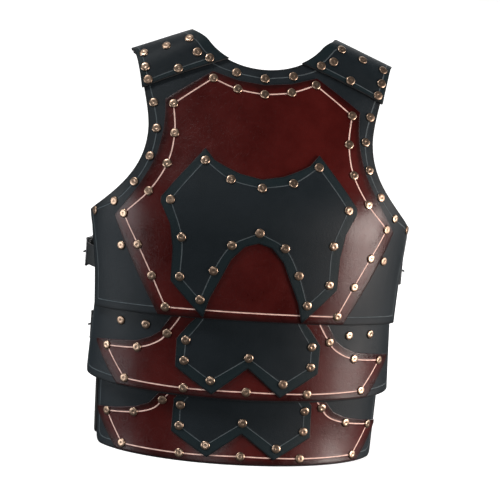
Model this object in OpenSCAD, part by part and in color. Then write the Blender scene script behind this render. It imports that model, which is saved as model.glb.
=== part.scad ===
// Leather cuirass: breastplate and backplate over two sliding lames each, hung on inner straps,
// joined by capped shoulders and buckled at the sides. Front faces -Y, up is +Z, the hem is at Z = 0.

/* [Torso form] */
// Half width at the chest
half_w = 215; // [208:1:222]
// How much the half width narrows for each 100 mm below the chest
narrowing = 4.3; // [3:0.1:5]
// Depth of the breastplate in front of the side line
front_depth = 127; // [122:1:134]
// Depth of the backplate behind the side line
back_depth = 112; // [107:1:118]
// Height at which the breastplate starts to lean back
chest_h = 307; // [300:1:315]
// Radius of the bend of the chest
chest_r = 140; // [120:5:150]
// Lean of the upper chest in degrees
chest_lean = 25.8; // [24:0.2:27]
// Height at which the backplate starts to lean forward
back_h = 330; // [320:1:345]
// Radius of the bend of the back
back_r = 200; // [160:5:230]
// Lean of the upper back in degrees
back_lean = 17; // [14:0.5:19]

/* [Shoulders and neck] */
// Height that the shoulder line would reach at the neck's middle
ridge_top = 592.5; // [585:0.5:600]
// Fall of the shoulder line for each millimetre outwards
ridge_fall = 0.39; // [0.35:0.01:0.42]
// Half width of the neck opening
neck_w = 95; // [88:1:100]
// Reach of the neck opening to the front
neck_front = 41.5; // [38:0.5:45]
// Reach of the neck opening to the back
neck_back = 72.5; // [71:0.5:75]
// Squareness of the back of the neck opening, lower is squarer
neck_square = 0.6; // [0.55:0.05:0.7]
// Distance from the middle to the outer end of the shoulder line
shoulder_w = 172; // [168:1:178]
// Gap between the front and back tabs under the caps
tab_gap = 4; // [3:0.5:6]

/* [Leather] */
// Thickness of the base plates
base_t = 3.5; // [3:0.1:4]
// Thickness of the coloured overlays and crests
overlay_t = 2.5; // [2:0.1:2.8]
// Thickness of the shoulder caps
cap_t = 4; // [3:0.1:5]
// Air between two layers
layer_gap = 0.4; // [0.35:0.05:0.5]
// Thickness of the side straps
strap_t = 2.2; // [1.8:0.1:2.4]
// Thickness of the chapes, which hold the buckles
chape_t = 2; // [1.6:0.1:2.2]
// Thickness of the inner hanging straps
hanger_t = 2; // [1.5:0.1:2.5]
// Air between a plate and a hanging strap inside it
hanger_gap = 0.8; // [0.6:0.1:1]

/* [Lames] */
// Height of the breastplate's hem at its sides
breast_hem = 188; // [184:1:192]
// Rise of the breastplate's hem in its middle
breast_arch = 9; // [4:1:12]
// Height of the upper lame's hem
upper_hem = 89; // [86:1:92]
// Height of the upper lame's top edge
upper_top = 212; // [208:1:216]
// Height of the lower lame's top edge
lower_top = 114; // [111:1:117]
// How much narrower the upper lame's hem is than the chest, on each side
upper_hem_in = 8; // [6:0.5:10]
// How much narrower the upper lame's top is than the chest, on each side
upper_top_in = 14; // [13:0.5:16]
// How much narrower the lower lame's hem is than the upper lame's, on each side
lower_hem_in = 14; // [11:0.5:17]
// How much narrower the lower lame's top is than the upper lame's, on each side
lower_top_in = 5; // [4:0.5:8]
// Inset of the front lames from the plate above
front_inset = 13.5; // [13:0.5:15]
// Inset of the back lames from the plate above
back_inset = 10.5; // [10:0.5:12]
// Flare of the upper lame's hem to the front
upper_flare = 5; // [3:0.5:6]
// Flare of the lower lame's hem to the front
lower_flare = 12; // [8:0.5:13]

/* [Rivets] */
// Diameter of a rivet's head
head_d = 12; // [10:0.5:13]
// Height of a rivet's head
head_h = 2.2; // [1.8:0.1:2.2]
// Diameter of a rivet's shank
shank_d = 3.6; // [3:0.1:4]
// Diameter of the washer inside
washer_d = 9; // [8:0.5:10]
// Thickness of the washer inside
washer_t = 0.8; // [0.6:0.1:1]
// Clearance round a shank in a hole
hole_gap = 0.5; // [0.4:0.1:0.8]

/* [Side straps] */
// Width of the side straps
strap_w = 28; // [24:1:30]
// Height of the chest strap at the side
chest_strap_h = 252; // [246:1:256]
// Height of the waist strap at the side
waist_strap_h = 150; // [147:1:151]
// Rise of the chest strap towards its rivets
chest_strap_rise = 23; // [20:1:25]
// Rise of the waist strap towards its rivets
waist_strap_rise = 20; // [18:1:21]
// Diameter of the buckle's wire
wire_d = 3.4; // [3:0.1:3.6]
// Length of the buckle's window along the strap, between wire centres
window_l = 18; // [17:0.5:20]
// Clear height of the buckle beyond each edge of the strap
window_gap = 2; // [1.5:0.5:3]
// Thickness of the prong
prong_d = 2.6; // [2.2:0.1:2.8]
// Height of the upright buckle parts above the sloping leather
stand_off = 1; // [0.9:0.1:1.2]
// Running clearance of the prong on its bar
prong_gap = 0.1; // [0.08:0.01:0.1]
// Thickness of the keeper loop
keeper_t = 1.2; // [1:0.1:1.3]
// Width of the keeper loop
keeper_w = 10; // [8:1:11]

/* [Hidden] */
deg = 180 / PI;
black = [0.12, 0.14, 0.16];
oxblood = [0.3, 0.05, 0.05];
copper = [0.62, 0.45, 0.32];
steel = [0.16, 0.16, 0.17];

// Plate sections: depth, height where the bend starts, radius of the bend, lean above it
front = [front_depth, chest_h, chest_r, chest_lean];
back = [back_depth, back_h, back_r, back_lean];
upper_hem_w = half_w - upper_hem_in;
upper_top_w = half_w - upper_top_in;
lower_hem_w = upper_hem_w - lower_hem_in;
lower_top_w = upper_top_w - lower_top_in;
tab_in = asin(neck_w / half_w);
tab_out = asin(shoulder_w / half_w);

// Levels of the surface of each layer above the base plate's outer face
overlay_lift = layer_gap;
crest_lift = overlay_lift + overlay_t + layer_gap;
layer_top = [0, overlay_lift + overlay_t, crest_lift + overlay_t];
strap_lift = -base_t - layer_gap - strap_t;

// Shoulder arc of a section: it starts on the leaning line and ends level on the shoulder line
function ridge_z(t) = ridge_top - ridge_fall * half_w * sin(abs(t));
function bend_depth(f) = f[0] - f[2] * (1 - cos(f[3]));
function bend_z(f) = f[1] + f[2] * sin(f[3]);
function bend_v(f) = f[1] + f[2] * f[3] / deg;
function lean_l(f, t) = (ridge_z(t) - bend_z(f)) / cos(f[3]);
function run_in(f, t) = bend_depth(f) - lean_l(f, t) * sin(f[3]);
function ridge_r(f, t) = run_in(f, t) / tan((90 - f[3]) / 2);
function arc_v(f, t) = bend_v(f) + lean_l(f, t) - run_in(f, t);
function ridge_v(f, t) = arc_v(f, t) + ridge_r(f, t) * (90 - f[3]) / deg;

// Depth and height of a section at girth angle t and height v measured along the leather
function section(f, t, v) =
    v <= f[1] ? [f[0], v]
    : v <= bend_v(f) ? let (g = (v - f[1]) / f[2] * deg)
        [f[0] - f[2] * (1 - cos(g)), f[1] + f[2] * sin(g)]
    : v <= arc_v(f, t) ? let (k = v - bend_v(f))
        [bend_depth(f) - k * sin(f[3]), bend_z(f) + k * cos(f[3])]
    : let (r = ridge_r(f, t), g = f[3] + (v - arc_v(f, t)) / r * deg)
        [r * cos(g), ridge_z(t) - r * (1 - sin(g))];

// Height along the leather at which a section reaches a depth
function v_at_depth(f, t, d) = let (r = ridge_r(f, t))
    d > r * cos(f[3]) ? bend_v(f) + (bend_depth(f) - d) / sin(f[3])
    : arc_v(f, t) + (acos(d / r) - f[3]) * r / deg;

function width_at(v) = half_w + narrowing * (min(v, chest_h) - chest_h) / 100;
function torso(f, t, v) = let (s = section(f, t, v))
    [width_at(v) * sin(t), -s[0] * cos(t), s[1]];

// Lames: half width at the hem and top, height of hem and top, depth, flare and where it starts
upper = [upper_hem_w, upper_top_w, upper_hem, upper_top, front_depth - front_inset, upper_flare, 170];
lower = [lower_hem_w, lower_top_w, 0, lower_top, upper[4] - front_inset, lower_flare, 75];
back_upper = [upper_hem_w, upper_top_w, upper_hem, upper_top, back_depth - back_inset, 0, 170];
back_lower = [lower_hem_w, lower_top_w, 0, lower_top, back_upper[4] - back_inset, 0, 75];
function lame_depth(l, v) = l[4] + l[5] * pow(max(0, (l[6] - v) / (l[6] - l[2])), 2);
function lame_width(l, v) = l[0] + (l[1] - l[0]) * (v - l[2]) / (l[3] - l[2]);
function lame(l, t, v) = [lame_width(l, v) * sin(t), -lame_depth(l, v) * cos(t), v];

breast_form = function (t, v) torso(front, t, v);
back_form = function (t, v) torso(back, t, v);
upper_form = function (t, v) lame(upper, t, v);
lower_form = function (t, v) lame(lower, t, v);
back_upper_form = function (t, v) lame(back_upper, t, v);
back_lower_form = function (t, v) lame(back_lower, t, v);

// Outward normal of a form, and the point at a lift above it
function normal(form, t, v) = let (
        e = 0.4,
        along = form(t + e, v) - form(t - e, v),
        up = form(t, v + e) - form(t, v - e),
        n = cross(along, up))
    n / norm(n);
function lifted(form, q, lift) =
    form(q[0], q[1]) + (lift + (len(q) > 2 ? q[2] : 0)) * normal(form, q[0], q[1]);

// Curves in girth angle and height: a chain of [share, angle, height] points, and a Bezier curve
function chain(c, pts) = [
    lookup(c, [for (p = pts) [p[0], p[1]]]),
    lookup(c, [for (p = pts) [p[0], p[2]]])];
function bezier(a, b, c, d, w) =
    pow(1 - w, 3) * a + 3 * w * pow(1 - w, 2) * b + 3 * w * w * (1 - w) * c + pow(w, 3) * d;
function mix(a, b, w) = a + (b - a) * w;

// Rows of a panel between a bottom and a top curve, with a curve for its side edge
function panel_point(bottom, top, edge, c, w) = let (
        k = abs(c),
        q = mix(bottom(k), top(k), w) + k * (edge(w) - mix(bottom(1), top(1), w)))
    [sign(c) * q[0], q[1]];
function panel(bottom, top, edge, cols, rows, first = 0) = [
    for (j = [first:rows]) [for (i = [-cols:cols])
        panel_point(bottom, top, edge, i / cols, j / rows)]];

// A closed sheet of leather over a grid of rows, between two lifts
module sheet(form, grid, lift, thick) {
    rows = len(grid);
    cols = len(grid[0]);
    half = rows * cols;
    outer = [for (row = grid) for (q = row) lifted(form, q, lift + thick)];
    inner = [for (row = grid) for (q = row) lifted(form, q, lift)];
    rim = concat(
        [for (i = [0:cols - 1]) i],
        [for (j = [1:rows - 1]) j * cols + cols - 1],
        [for (i = [cols - 2:-1:0]) (rows - 1) * cols + i],
        [for (j = [rows - 2:-1:1]) j * cols]);
    n = len(rim);
    faces = concat(
        [for (j = [0:rows - 2]) for (i = [0:cols - 2]) let (a = j * cols + i, b = a + cols)
            each [[a, b, b + 1], [a, b + 1, a + 1]]],
        [for (j = [0:rows - 2]) for (i = [0:cols - 2]) let (a = half + j * cols + i, b = a + cols)
            each [[a, b + 1, b], [a, a + 1, b + 1]]],
        [for (i = [0:n - 1]) let (a = rim[i], b = rim[(i + 1) % n])
            each [[a, b, b + half], [a, b + half, a + half]]]);
    polyhedron(points = concat(outer, inner), faces = faces, convexity = 8);
}

module pair() {
    children();
    mirror([1, 0, 0]) children();
}

module behind() {
    mirror([0, 1, 0]) children();
}

// Breastplate outline
breast_side = 75;
breast_corner = [86, 314];
breast_pinch = [43.5, 443];
function breast_hem_v(t) = breast_hem + breast_arch * cos(1.2 * t);
breast_hem_line = function (c) [breast_side * c, breast_hem_v(breast_side * c)];
breast_waist_line = function (c) [breast_corner[0] * c, breast_corner[1]];
breast_pinch_line = function (c) [breast_pinch[0] * c, breast_pinch[1]];
breast_side_line = function (w) [
    lookup(w, [[0, breast_side], [0.4, 75.4], [0.65, 77.5], [0.85, 80.5], [1, breast_corner[0]]]),
    mix(breast_hem_v(breast_side), breast_corner[1], w)];
breast_low_arm = function (w) bezier(breast_corner, [62, 332], [43.4, 375], breast_pinch, w);
breast_high_arm = function (w)
    bezier(breast_pinch, [43.6, 475], [49.5, 525], tab_end(front, tab_out), w);

// The top line follows the neck opening, given by reach, squareness and where the cap starts on it,
// then the shoulder line
function tab_end(f, t) = [t, ridge_v(f, t) - tab_gap / 2];
front_neck = [neck_front, 1, 31];
back_neck = [neck_back, neck_square, 45];
function neck_point(f, plan, a) = let (
        t = asin(neck_w * pow(sin(a), plan[1]) / half_w),
        v = v_at_depth(f, t, plan[0] * pow(max(0, cos(a)), plan[1]) / cos(t)))
    [t, min(v, ridge_v(f, t) - tab_gap / 2)];
function top_point(f, plan, c) =
    c <= 0.5 ? neck_point(f, plan, 180 * c) : tab_end(f, mix(tab_in, tab_out, 2 * c - 1));

module breastplate() {
    grid = concat(
        panel(breast_hem_line, breast_waist_line, breast_side_line, 16, 5),
        panel(breast_waist_line, breast_pinch_line, breast_low_arm, 16, 9, 1),
        panel(breast_pinch_line, function (c) top_point(front, front_neck, c), breast_high_arm, 16, 10, 1));
    color(black) sheet(breast_form, grid, -base_t, base_t);
}

overlay_low = 35;
overlay_corner = [58, 317];
overlay_top = [[0, 0, 512], [0.25, 9.3, 516], [0.5, 18.5, 526.5], [1, 36.4, 482.3]];
module breast_overlay() {
    low = function (c) [overlay_low * c, breast_hem_v(overlay_low * c) + 1.5];
    mid = function (c) [overlay_corner[0] * c, overlay_corner[1]];
    top = function (c) chain(c, overlay_top);
    side = function (w) mix(low(1), mid(1), w);
    arm = function (w) bezier(overlay_corner, [47, 352], [34, 398], [36.4, 482.3], w);
    grid = concat(panel(low, mid, side, 12, 4), panel(mid, top, arm, 12, 14, 1));
    color(oxblood) sheet(breast_form, grid, overlay_lift, overlay_t);
}

crest_low = [[0, 0, 300.5], [0.1, 4.6, 295], [0.2, 9, 277], [0.3, 12, 252.5], [0.4, 15.6, 224],
    [0.5, 17.5, 198.5], [0.7, 30.2, 243], [0.8, 30, 285], [0.9, 31.4, 315], [1, 35.8, 342]];
crest_top = [[0, 0, 381.5], [0.2, 7.5, 387.3], [0.3, 12.5, 395.5], [0.4, 16.6, 403.6],
    [0.5, 19.9, 418.8], [1, 35.6, 349]];
module breast_crest() {
    low = function (c) chain(c, crest_low);
    top = function (c) chain(c, crest_top);
    side = function (w) mix(low(1), top(1), w);
    color(black) sheet(breast_form, panel(low, top, side, 10, 14), crest_lift, overlay_t);
}

// Lame outlines: hem line with rounded corners, straight sides
function corner_rise(t, side) = let (k = max(0, t - side + 6) / 6) 10 * (1 - sqrt(1 - min(1, k * k)));
module lame_base(form, side, hem, rise, top, rows) {
    low = function (c) [side * c, hem + rise * (1 - cos(side * c)) + corner_rise(side * c, side)];
    high = function (c) [side * c, top];
    edge = function (w) mix(low(1), high(1), w);
    grid = [for (j = [0:rows]) [for (i = [-18:18]) let (c = sign(i) * sin(abs(i) * 5))
        panel_point(low, high, edge, c, j / rows)]];
    color(black) sheet(form, grid, -base_t, base_t);
}

// A lame's winged overlay and its two-pointed crest, from chains of outline points
module lame_trim(form, low_pts, top_pts, lift, cols) {
    low = function (c) chain(c, low_pts);
    top = function (c) chain(c, top_pts);
    side = function (w) mix(low(1), top(1), w);
    sheet(form, panel(low, top, side, cols, 4), lift, overlay_t);
}

upper_side = 88;
lower_side = 77;
module upper_lame() lame_base(upper_form, upper_side, upper_hem, 4, upper_top, 4);
module upper_lame_overlay() {
    color(oxblood) lame_trim(upper_form,
        [[0, 0, upper_hem + 2], [0.7, 53.3, upper_hem + 3.5], [1, 71.6, 141.5]],
        [[0, 0, 206], [0.4, 28, 206], [0.5, 31.5, 188.5], [0.6, 34.5, 172], [0.7, 38.4, 163],
            [0.8, 45.1, 154.4], [1, 72, 145]],
        overlay_lift, 20);
}
module upper_lame_crest() {
    color(black) lame_trim(upper_form,
        [[0, 0, 133.2], [0.5, 12.4, 95.5], [1, 26.9, 128]],
        [[0, 0, 204], [0.5, 18, 204], [0.7, 22.6, 187.6], [1, 27.3, 165.5]],
        crest_lift, 10);
}
module lower_lame() lame_base(lower_form, lower_side, 0, 0, lower_top, 4);
module lower_lame_overlay() {
    color(oxblood) lame_trim(lower_form,
        [[0, 0, 1.5], [0.7, 56.7, 2], [1, 73.8, 47]],
        [[0, 0, 107], [0.4, 31, 107], [0.5, 33.5, 90], [0.6, 38.8, 71.5], [0.7, 45.8, 63],
            [0.8, 58.4, 56.3], [1, 74, 51]],
        overlay_lift, 20);
}
module lower_lame_crest() {
    color(black) lame_trim(lower_form,
        [[0, 0, 41], [0.5, 13.1, 7.6], [1, 28.1, 37.8]],
        [[0, 0, 105], [0.5, 20, 105], [0.7, 25.5, 90], [1, 27.6, 81.5]],
        crest_lift, 10);
}

// Backplate: the same build, narrower at the sides, with a shallower neck and one overlay
back_side = 67;
back_corner = [73, 306];
back_pinch = [41, 446];
back_hem_line = function (c) [back_side * c, breast_hem + 2];
back_waist_line = function (c) [back_corner[0] * c, back_corner[1]];
back_pinch_line = function (c) [back_pinch[0] * c, back_pinch[1]];
back_side_line = function (w) [
    lookup(w, [[0, back_side], [0.4, 67.5], [0.75, 69.2], [1, back_corner[0]]]),
    mix(breast_hem + 2, back_corner[1], w)];
back_low_arm = function (w) bezier(back_corner, [49, 322], [37.5, 370], back_pinch, w);
back_high_arm = function (w) bezier(back_pinch, [42.5, 478], [48.5, 525], tab_end(back, tab_out), w);
module backplate() {
    grid = concat(
        panel(back_hem_line, back_waist_line, back_side_line, 16, 4),
        panel(back_waist_line, back_pinch_line, back_low_arm, 16, 7, 1),
        panel(back_pinch_line, function (c) top_point(back, back_neck, c), back_high_arm, 16, 10, 1));
    color(black) behind() sheet(back_form, grid, -base_t, base_t);
}
back_overlay_top = [[0, 0, 470], [0.25, 9.3, 471.5], [0.5, 18.5, 491], [1, 33.5, 466]];
module back_overlay() {
    low = function (c) [34 * c, breast_hem + 4];
    mid = function (c) [48 * c, 318];
    top = function (c) chain(c, back_overlay_top);
    side = function (w) mix(low(1), mid(1), w);
    arm = function (w) bezier([48, 318], [41, 350], [31, 398], [33.5, 466], w);
    grid = concat(panel(low, mid, side, 12, 3), panel(mid, top, arm, 12, 12, 1));
    color(oxblood) behind() sheet(back_form, grid, overlay_lift, overlay_t);
}
back_upper_side = 80;
back_lower_side = 82;
module back_upper_lame() behind() 
    lame_base(back_upper_form, back_upper_side, upper_hem, 4, upper_top, 2);
module back_upper_overlay() {
    color(oxblood) behind() lame_trim(back_upper_form,
        [[0, 0, upper_hem + 2], [0.7, 50, upper_hem + 3.5], [1, 57, 108]],
        [[0, 0, 206], [0.4, 28, 206], [0.5, 30, 172], [0.7, 37, 140], [1, 57.5, 112]],
        overlay_lift, 10);
}
module back_lower_lame() behind() 
    lame_base(back_lower_form, back_lower_side, 0, 0, lower_top, 2);
module back_lower_overlay() {
    color(oxblood) behind() lame_trim(back_lower_form,
        [[0, 0, 1.5], [0.7, 56.7, 2], [1, 73.8, 47]],
        [[0, 0, 107], [0.4, 31, 107], [0.5, 34, 84], [0.6, 38.8, 71.5], [0.8, 58.4, 56.3], [1, 74, 51]],
        overlay_lift, 20);
}

// Shoulder cap: one grid over the shoulder line, from the front edge to the back edge
// Outer corner of a cap, front and back: girth angle, height, and the angles of the curve above it
cap_front_out = [46.8, 495, 48, 51];
cap_back_out = [45.4, 494, 47.3, 50.8];
cap_lap = 0.4;
function cap_side(f, plan, out, c, w) = let (
        corner = [out[0], out[1]],
        start_in = neck_point(f, plan, plan[2]),
        lap = [cap_lap, 0],
        outer = bezier(corner, [out[2], out[1] + 20], [out[3], out[1] + 55],
            [tab_out, ridge_v(f, tab_out)], w) + lap,
        inner = w < 1 ? neck_point(f, plan, mix(plan[2], 90, w)) - lap
            : [tab_in, ridge_v(f, tab_in)] - lap,
        middle = mix(mix(start_in, corner, c),
            let (t = mix(tab_in, tab_out, c)) [t, ridge_v(f, t)], w),
        from_in = mix(start_in, [tab_in, ridge_v(f, tab_in)], w),
        from_out = mix(corner, [tab_out, ridge_v(f, tab_out)], w))
    middle + (1 - c) * (inner - from_in) + c * (outer - from_out);
function turned(p) = [p[0], -p[1], p[2]];
function cap_point(c, w, lift) =
    w == 0 ? let (
            q = cap_side(front, front_neck, cap_front_out, c, 1),
            n = normal(breast_form, q[0], ridge_v(front, q[0])),
            flat = [n[0], 0, n[2]] / norm([n[0], n[2]]))
        [half_w * sin(q[0]), 0, ridge_z(q[0])] + lift * flat
    : w < 0 ? lifted(breast_form, cap_side(front, front_neck, cap_front_out, c, 1 + w), lift)
    : turned(lifted(back_form, cap_side(back, back_neck, cap_back_out, c, 1 - w), lift));
module cap_blank() {
    rows = 13;
    cols = 6;
    grid = function (lift) [for (j = [-rows:rows]) for (i = [0:cols]) cap_point(i / cols, j / rows, lift)];
    n = cols + 1;
    m = 2 * rows + 1;
    half = n * m;
    rim = concat([for (i = [0:cols]) i], [for (j = [1:m - 1]) j * n + cols],
        [for (i = [cols - 1:-1:0]) (m - 1) * n + i], [for (j = [m - 2:-1:1]) j * n]);
    k = len(rim);
    faces = concat(
        [for (j = [0:m - 2]) for (i = [0:cols - 1]) let (a = j * n + i, b = a + n)
            each [[a, b, b + 1], [a, b + 1, a + 1]]],
        [for (j = [0:m - 2]) for (i = [0:cols - 1]) let (a = half + j * n + i, b = a + n)
            each [[a, b + 1, b], [a, a + 1, b + 1]]],
        [for (i = [0:k - 1]) let (a = rim[i], b = rim[(i + 1) % k])
            each [[a, b, b + half], [a, b + half, a + half]]]);
    polyhedron(points = concat(grid(layer_gap + cap_t), grid(layer_gap)), faces = faces, convexity = 8);
}

// Cap rivets as [share outwards, share along from the shoulder line to the edge]
cap_front_rivets = [[0.15, -0.9], [0.51, -0.9], [0.9, -0.89], [0.21, -0.74], [0.9, -0.66],
    [0.18, -0.47], [0.5, -0.44], [0.86, -0.4]];
cap_back_rivets = [[0.12, 0.87], [0.5, 0.87], [0.88, 0.87], [0.12, 0.45], [0.88, 0.45]];
function cap_axis(q) = cap_point(q[0], q[1], 10) - cap_point(q[0], q[1], 0);
module cap_rivet(q) {
    oriented(cap_point(q[0], q[1], 0), cap_axis(q) / 10) rivet_at(layer_gap + cap_t, -base_t);
}
module cap_holes(places) {
    for (q = places) oriented(cap_point(q[0], q[1], 0), cap_axis(q) / 10)
        translate([0, 0, -2]) cylinder(h = cap_t + 6, d = shank_d + 2 * hole_gap, $fn = 24);
}
module shoulder_cap() {
    color(black) difference() {
        cap_blank();
        cap_holes(cap_back_rivets);
    }
}

// Turns its child's +Z to a direction, at a point
module oriented(p, n) {
    translate(p) rotate([0, acos(n[2] / norm(n)), atan2(n[1], n[0])]) children();
}

// Rivet along +Z: a domed head with a dimple on a shank, and a washer inside
module rivet_at(top, bottom) {
    r = head_d / 2;
    translate([0, 0, top + 0.05]) rotate_extrude($fn = 24) polygon([
        [0, -0.5], [shank_d / 2, -0.5], [shank_d / 2, 0], [r, 0], [r, 0.25 * head_h],
        [0.87 * r, 0.64 * head_h], [0.62 * r, 0.91 * head_h], [0.36 * r, head_h],
        [0.24 * r, 0.8 * head_h], [0, 0.72 * head_h]]);
    translate([0, 0, bottom - washer_t - 0.5])
        cylinder(h = top - bottom + washer_t + 0.3, d = shank_d, $fn = 24);
    translate([0, 0, bottom - washer_t - 0.15]) cylinder(h = washer_t, d = washer_d, $fn = 24);
}

// A rivet is [girth angle, height, layer, extra depth for a strap inside]
module rivet(form, r) {
    oriented(form(r[0], r[1]), normal(form, r[0], r[1]))
        rivet_at(layer_top[r[2]], -base_t - (len(r) > 3 ? r[3] : 0));
}
module rivets(form, sides, middles) {
    color(copper) {
        for (r = sides) pair() rivet(form, r);
        for (r = middles) rivet(form, r);
    }
}
in_strap = layer_gap + strap_t;
in_hanger = hanger_gap + hanger_t + 0.4;
breast_rivet_list = [
    [41.5, 476.7, 0], [39.6, 441.4, 0], [41.9, 402.3, 0], [48.7, 364.2, 0], [59.5, 334.2, 0],
    [76, 315.5, 0], [10, 527.4, 0], [54, 278.2, 0, in_strap],
    [18.2, 516.3, 1], [9.4, 503.5, 1], [32.8, 476.7, 1], [31.8, 436.4, 1], [34.2, 393.9, 1],
    [41.3, 354, 1], [52.6, 320.9, 1], [44.9, 283.5, 1, in_strap], [38.1, 245.9, 1], [31.9, 207.2, 1],
    [19.8, 401.8, 2], [10.7, 378.4, 2], [31.9, 346.1, 2], [26.8, 300.7, 2],
    [26.7, 249.6, 2, in_hanger], [18.9, 222.2, 2], [14.8, 261.1, 2], [9.1, 295.9, 2]];
breast_rivet_middles = [[0, 521.4, 0], [0, 498.3, 1], [0, 369.5, 2], [0, 313.7, 2]];
module breast_rivets() rivets(breast_form, breast_rivet_list, breast_rivet_middles);
upper_rivet_list = [
    [55.1, 177, 0, in_strap], [41.6, 177.5, 0, in_strap],
    [31.5, 170.1, 1], [44.3, 146, 1], [62, 140.3, 1], [49.2, 102.3, 1], [23.1, 100.6, 1],
    [23.6, 164.5, 2, in_hanger], [23.6, 137.2, 2, in_hanger], [13.2, 113.9, 2]];
module upper_lame_rivets() rivets(upper_form, upper_rivet_list, [[0, 101.5, 1], [0, 147.1, 2]]);
lower_rivet_list = [
    [32.7, 77.5, 1], [46.5, 55.3, 1], [63.9, 49, 1], [52.6, 10.6, 1], [24.3, 10, 1],
    [24.6, 74.3, 2, in_hanger], [24.7, 46, 2], [13.8, 23, 2]];
module lower_lame_rivets() rivets(lower_form, lower_rivet_list, [[0, 11.4, 1], [0, 55.8, 2]]);
back_rivet_list = [
    [39.6, 474, 0], [37.4, 440, 0], [38.2, 402, 0], [42.4, 364, 0], [49.8, 334, 0], [66.5, 302, 0],
    [10, 483, 0], [18.2, 480, 1], [9.4, 461, 1], [30, 459, 1], [29.8, 428, 1], [31.8, 396, 1], [37, 356, 1],
    [43.5, 323, 1], [40.5, 285, 1], [36, 245, 1], [31.3, 206, 1], [24, 249.6, 1, in_hanger]];
module back_rivets() behind() {
    rivets(back_form, back_rivet_list, [[0, 482, 0], [0, 459, 1]]);
}
back_upper_rivet_list = [
    [31.5, 165, 1], [39, 131, 1], [51, 110, 1], [23.1, 100.6, 1],
    [23.6, 164.5, 1, in_hanger], [23.6, 137.2, 1, in_hanger]];
module back_upper_rivets() behind() rivets(back_upper_form, back_upper_rivet_list, [[0, 101.5, 1]]);
back_lower_rivet_list = [
    [32.7, 77.5, 1], [46.5, 55.3, 1], [63.9, 49, 1], [52.6, 10.6, 1], [24.3, 10, 1],
    [24.6, 74.3, 1, in_hanger]];
module back_lower_rivets() behind() rivets(back_lower_form, back_lower_rivet_list, [[0, 11.4, 1]]);

// Hanging straps: each crosses from the inside of one plate to the inside of the next
hang_in = base_t + hanger_gap;
module hanger(depths, widths, v0, v1, holes) {
    form = function (t, v) [lookup(v, widths) * sin(t), -lookup(v, depths) * cos(t), v];
    rows = concat([for (p = depths) if (p[0] > v0 && p[0] < v1) p[0]]);
    levels = concat([v0], rows, [v1]);
    grid = [for (v = levels) [for (t = [19.3:3.1:28.6]) [t, v]]];
    color(black) difference() {
        sheet(form, grid, -hanger_t, hanger_t);
        for (h = holes) let (plate = h[0]) oriented(plate(h[1], h[2]), normal(plate, h[1], h[2]))
            translate([0, 0, -base_t - hanger_gap - 2 * hanger_t])
                cylinder(h = 4 * hanger_t, d = shank_d + 2 * hole_gap, $fn = 24);
    }
}
// Each hole is [the plate's form, girth angle, height]
module upper_hanger(depth_out, l, holes) {
    cross_v = upper_top + 26;
    hanger(
        [[150, lame_depth(l, 150) - hang_in], [upper_top, l[4] - hang_in], [cross_v, depth_out - hang_in],
            [264, depth_out - hang_in]],
        [[150, lame_width(l, 150) - hang_in], [upper_top, upper_top_w - hang_in],
            [cross_v, width_at(cross_v) - hang_in], [264, width_at(264) - hang_in]],
        152, 262, holes);
}
module lower_hanger(l, m, holes) {
    cross_v = lower_top + 17;
    hanger(
        [[60, lame_depth(m, 60) - hang_in], [lower_top, m[4] - hang_in],
            [cross_v, lame_depth(l, cross_v) - hang_in], [148, lame_depth(l, 148) - hang_in]],
        [[60, lame_width(m, 60) - hang_in], [lower_top, lower_top_w - hang_in],
            [cross_v, lame_width(l, cross_v) - hang_in], [148, lame_width(l, 148) - hang_in]],
        62, 146, holes);
}
module front_upper_hangers() pair() upper_hanger(front_depth, upper,
    [[breast_form, 26.7, 249.6], [upper_form, 23.6, 164.5]]);
module front_lower_hangers() pair() lower_hanger(upper, lower,
    [[upper_form, 23.6, 137.2], [lower_form, 24.6, 74.3]]);
module back_upper_hangers() behind() pair() upper_hanger(back_depth, back_upper,
    [[back_form, 24, 249.6], [back_upper_form, 23.6, 164.5]]);
module back_lower_hangers() behind() pair() lower_hanger(back_upper, back_lower,
    [[back_upper_form, 23.6, 137.2], [back_lower_form, 24.6, 74.3]]);

// Side of the body at a strap: half width, front depth and back depth by height, then the
// heel bar's girth angle and the strap's height
chest_level = [function (v) width_at(v), function (v) front_depth, back_depth, 106, chest_strap_h];
waist_level = [function (v) lame_width(upper, v), function (v) lame_depth(upper, v), back_upper[4],
    112, waist_strap_h];
function side_form(s) = function (t, v)
    let (w = s[0], d = s[1]) [w(v) * sin(t), -(cos(t) > 0 ? d(v) : s[2]) * cos(t), v];
function strap_form(s, edge) = function (t, v) let (
        form = side_form(s),
        p = form(t, mix(v, s[4], lookup(t, [[edge - 10, 0], [edge - 4, 1]]))))
    [p[0], p[1], v];
function step_mm(s) = let (w = s[0]) norm([w(s[4]) * cos(s[3]), s[2] * sin(s[3])]) / deg;
function from_heel(s, mm) = s[3] + mm / step_mm(s);
function side_point(s, mm, lift) = let (
        form = side_form(s),
        t = from_heel(s, mm),
        n = normal(form, t, s[4]))
    form(t, s[4]) + lift * [n[0], n[1], 0] / norm([n[0], n[1]]);
function side_way(s, mm) = side_point(s, mm, 1) - side_point(s, mm, 0);

// Levels in the buckle's stack above the back plate's outer face
wire_r = wire_d / 2;
strap_low = stand_off - 0.2;
bar_lift = strap_low + strap_t + 0.3 + wire_r;
wrap_r = wire_r + 0.2 + chape_t;
chape_gap = keeper_t + 0.8;
upper_layer = stand_off + chape_t + chape_gap;
tail_lift = upper_layer + chape_t + layer_gap;
heel_lift = bar_lift + wrap_r + layer_gap;
window_h = strap_w + 2 * window_gap + wire_d;
tail_l = 27;

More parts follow.
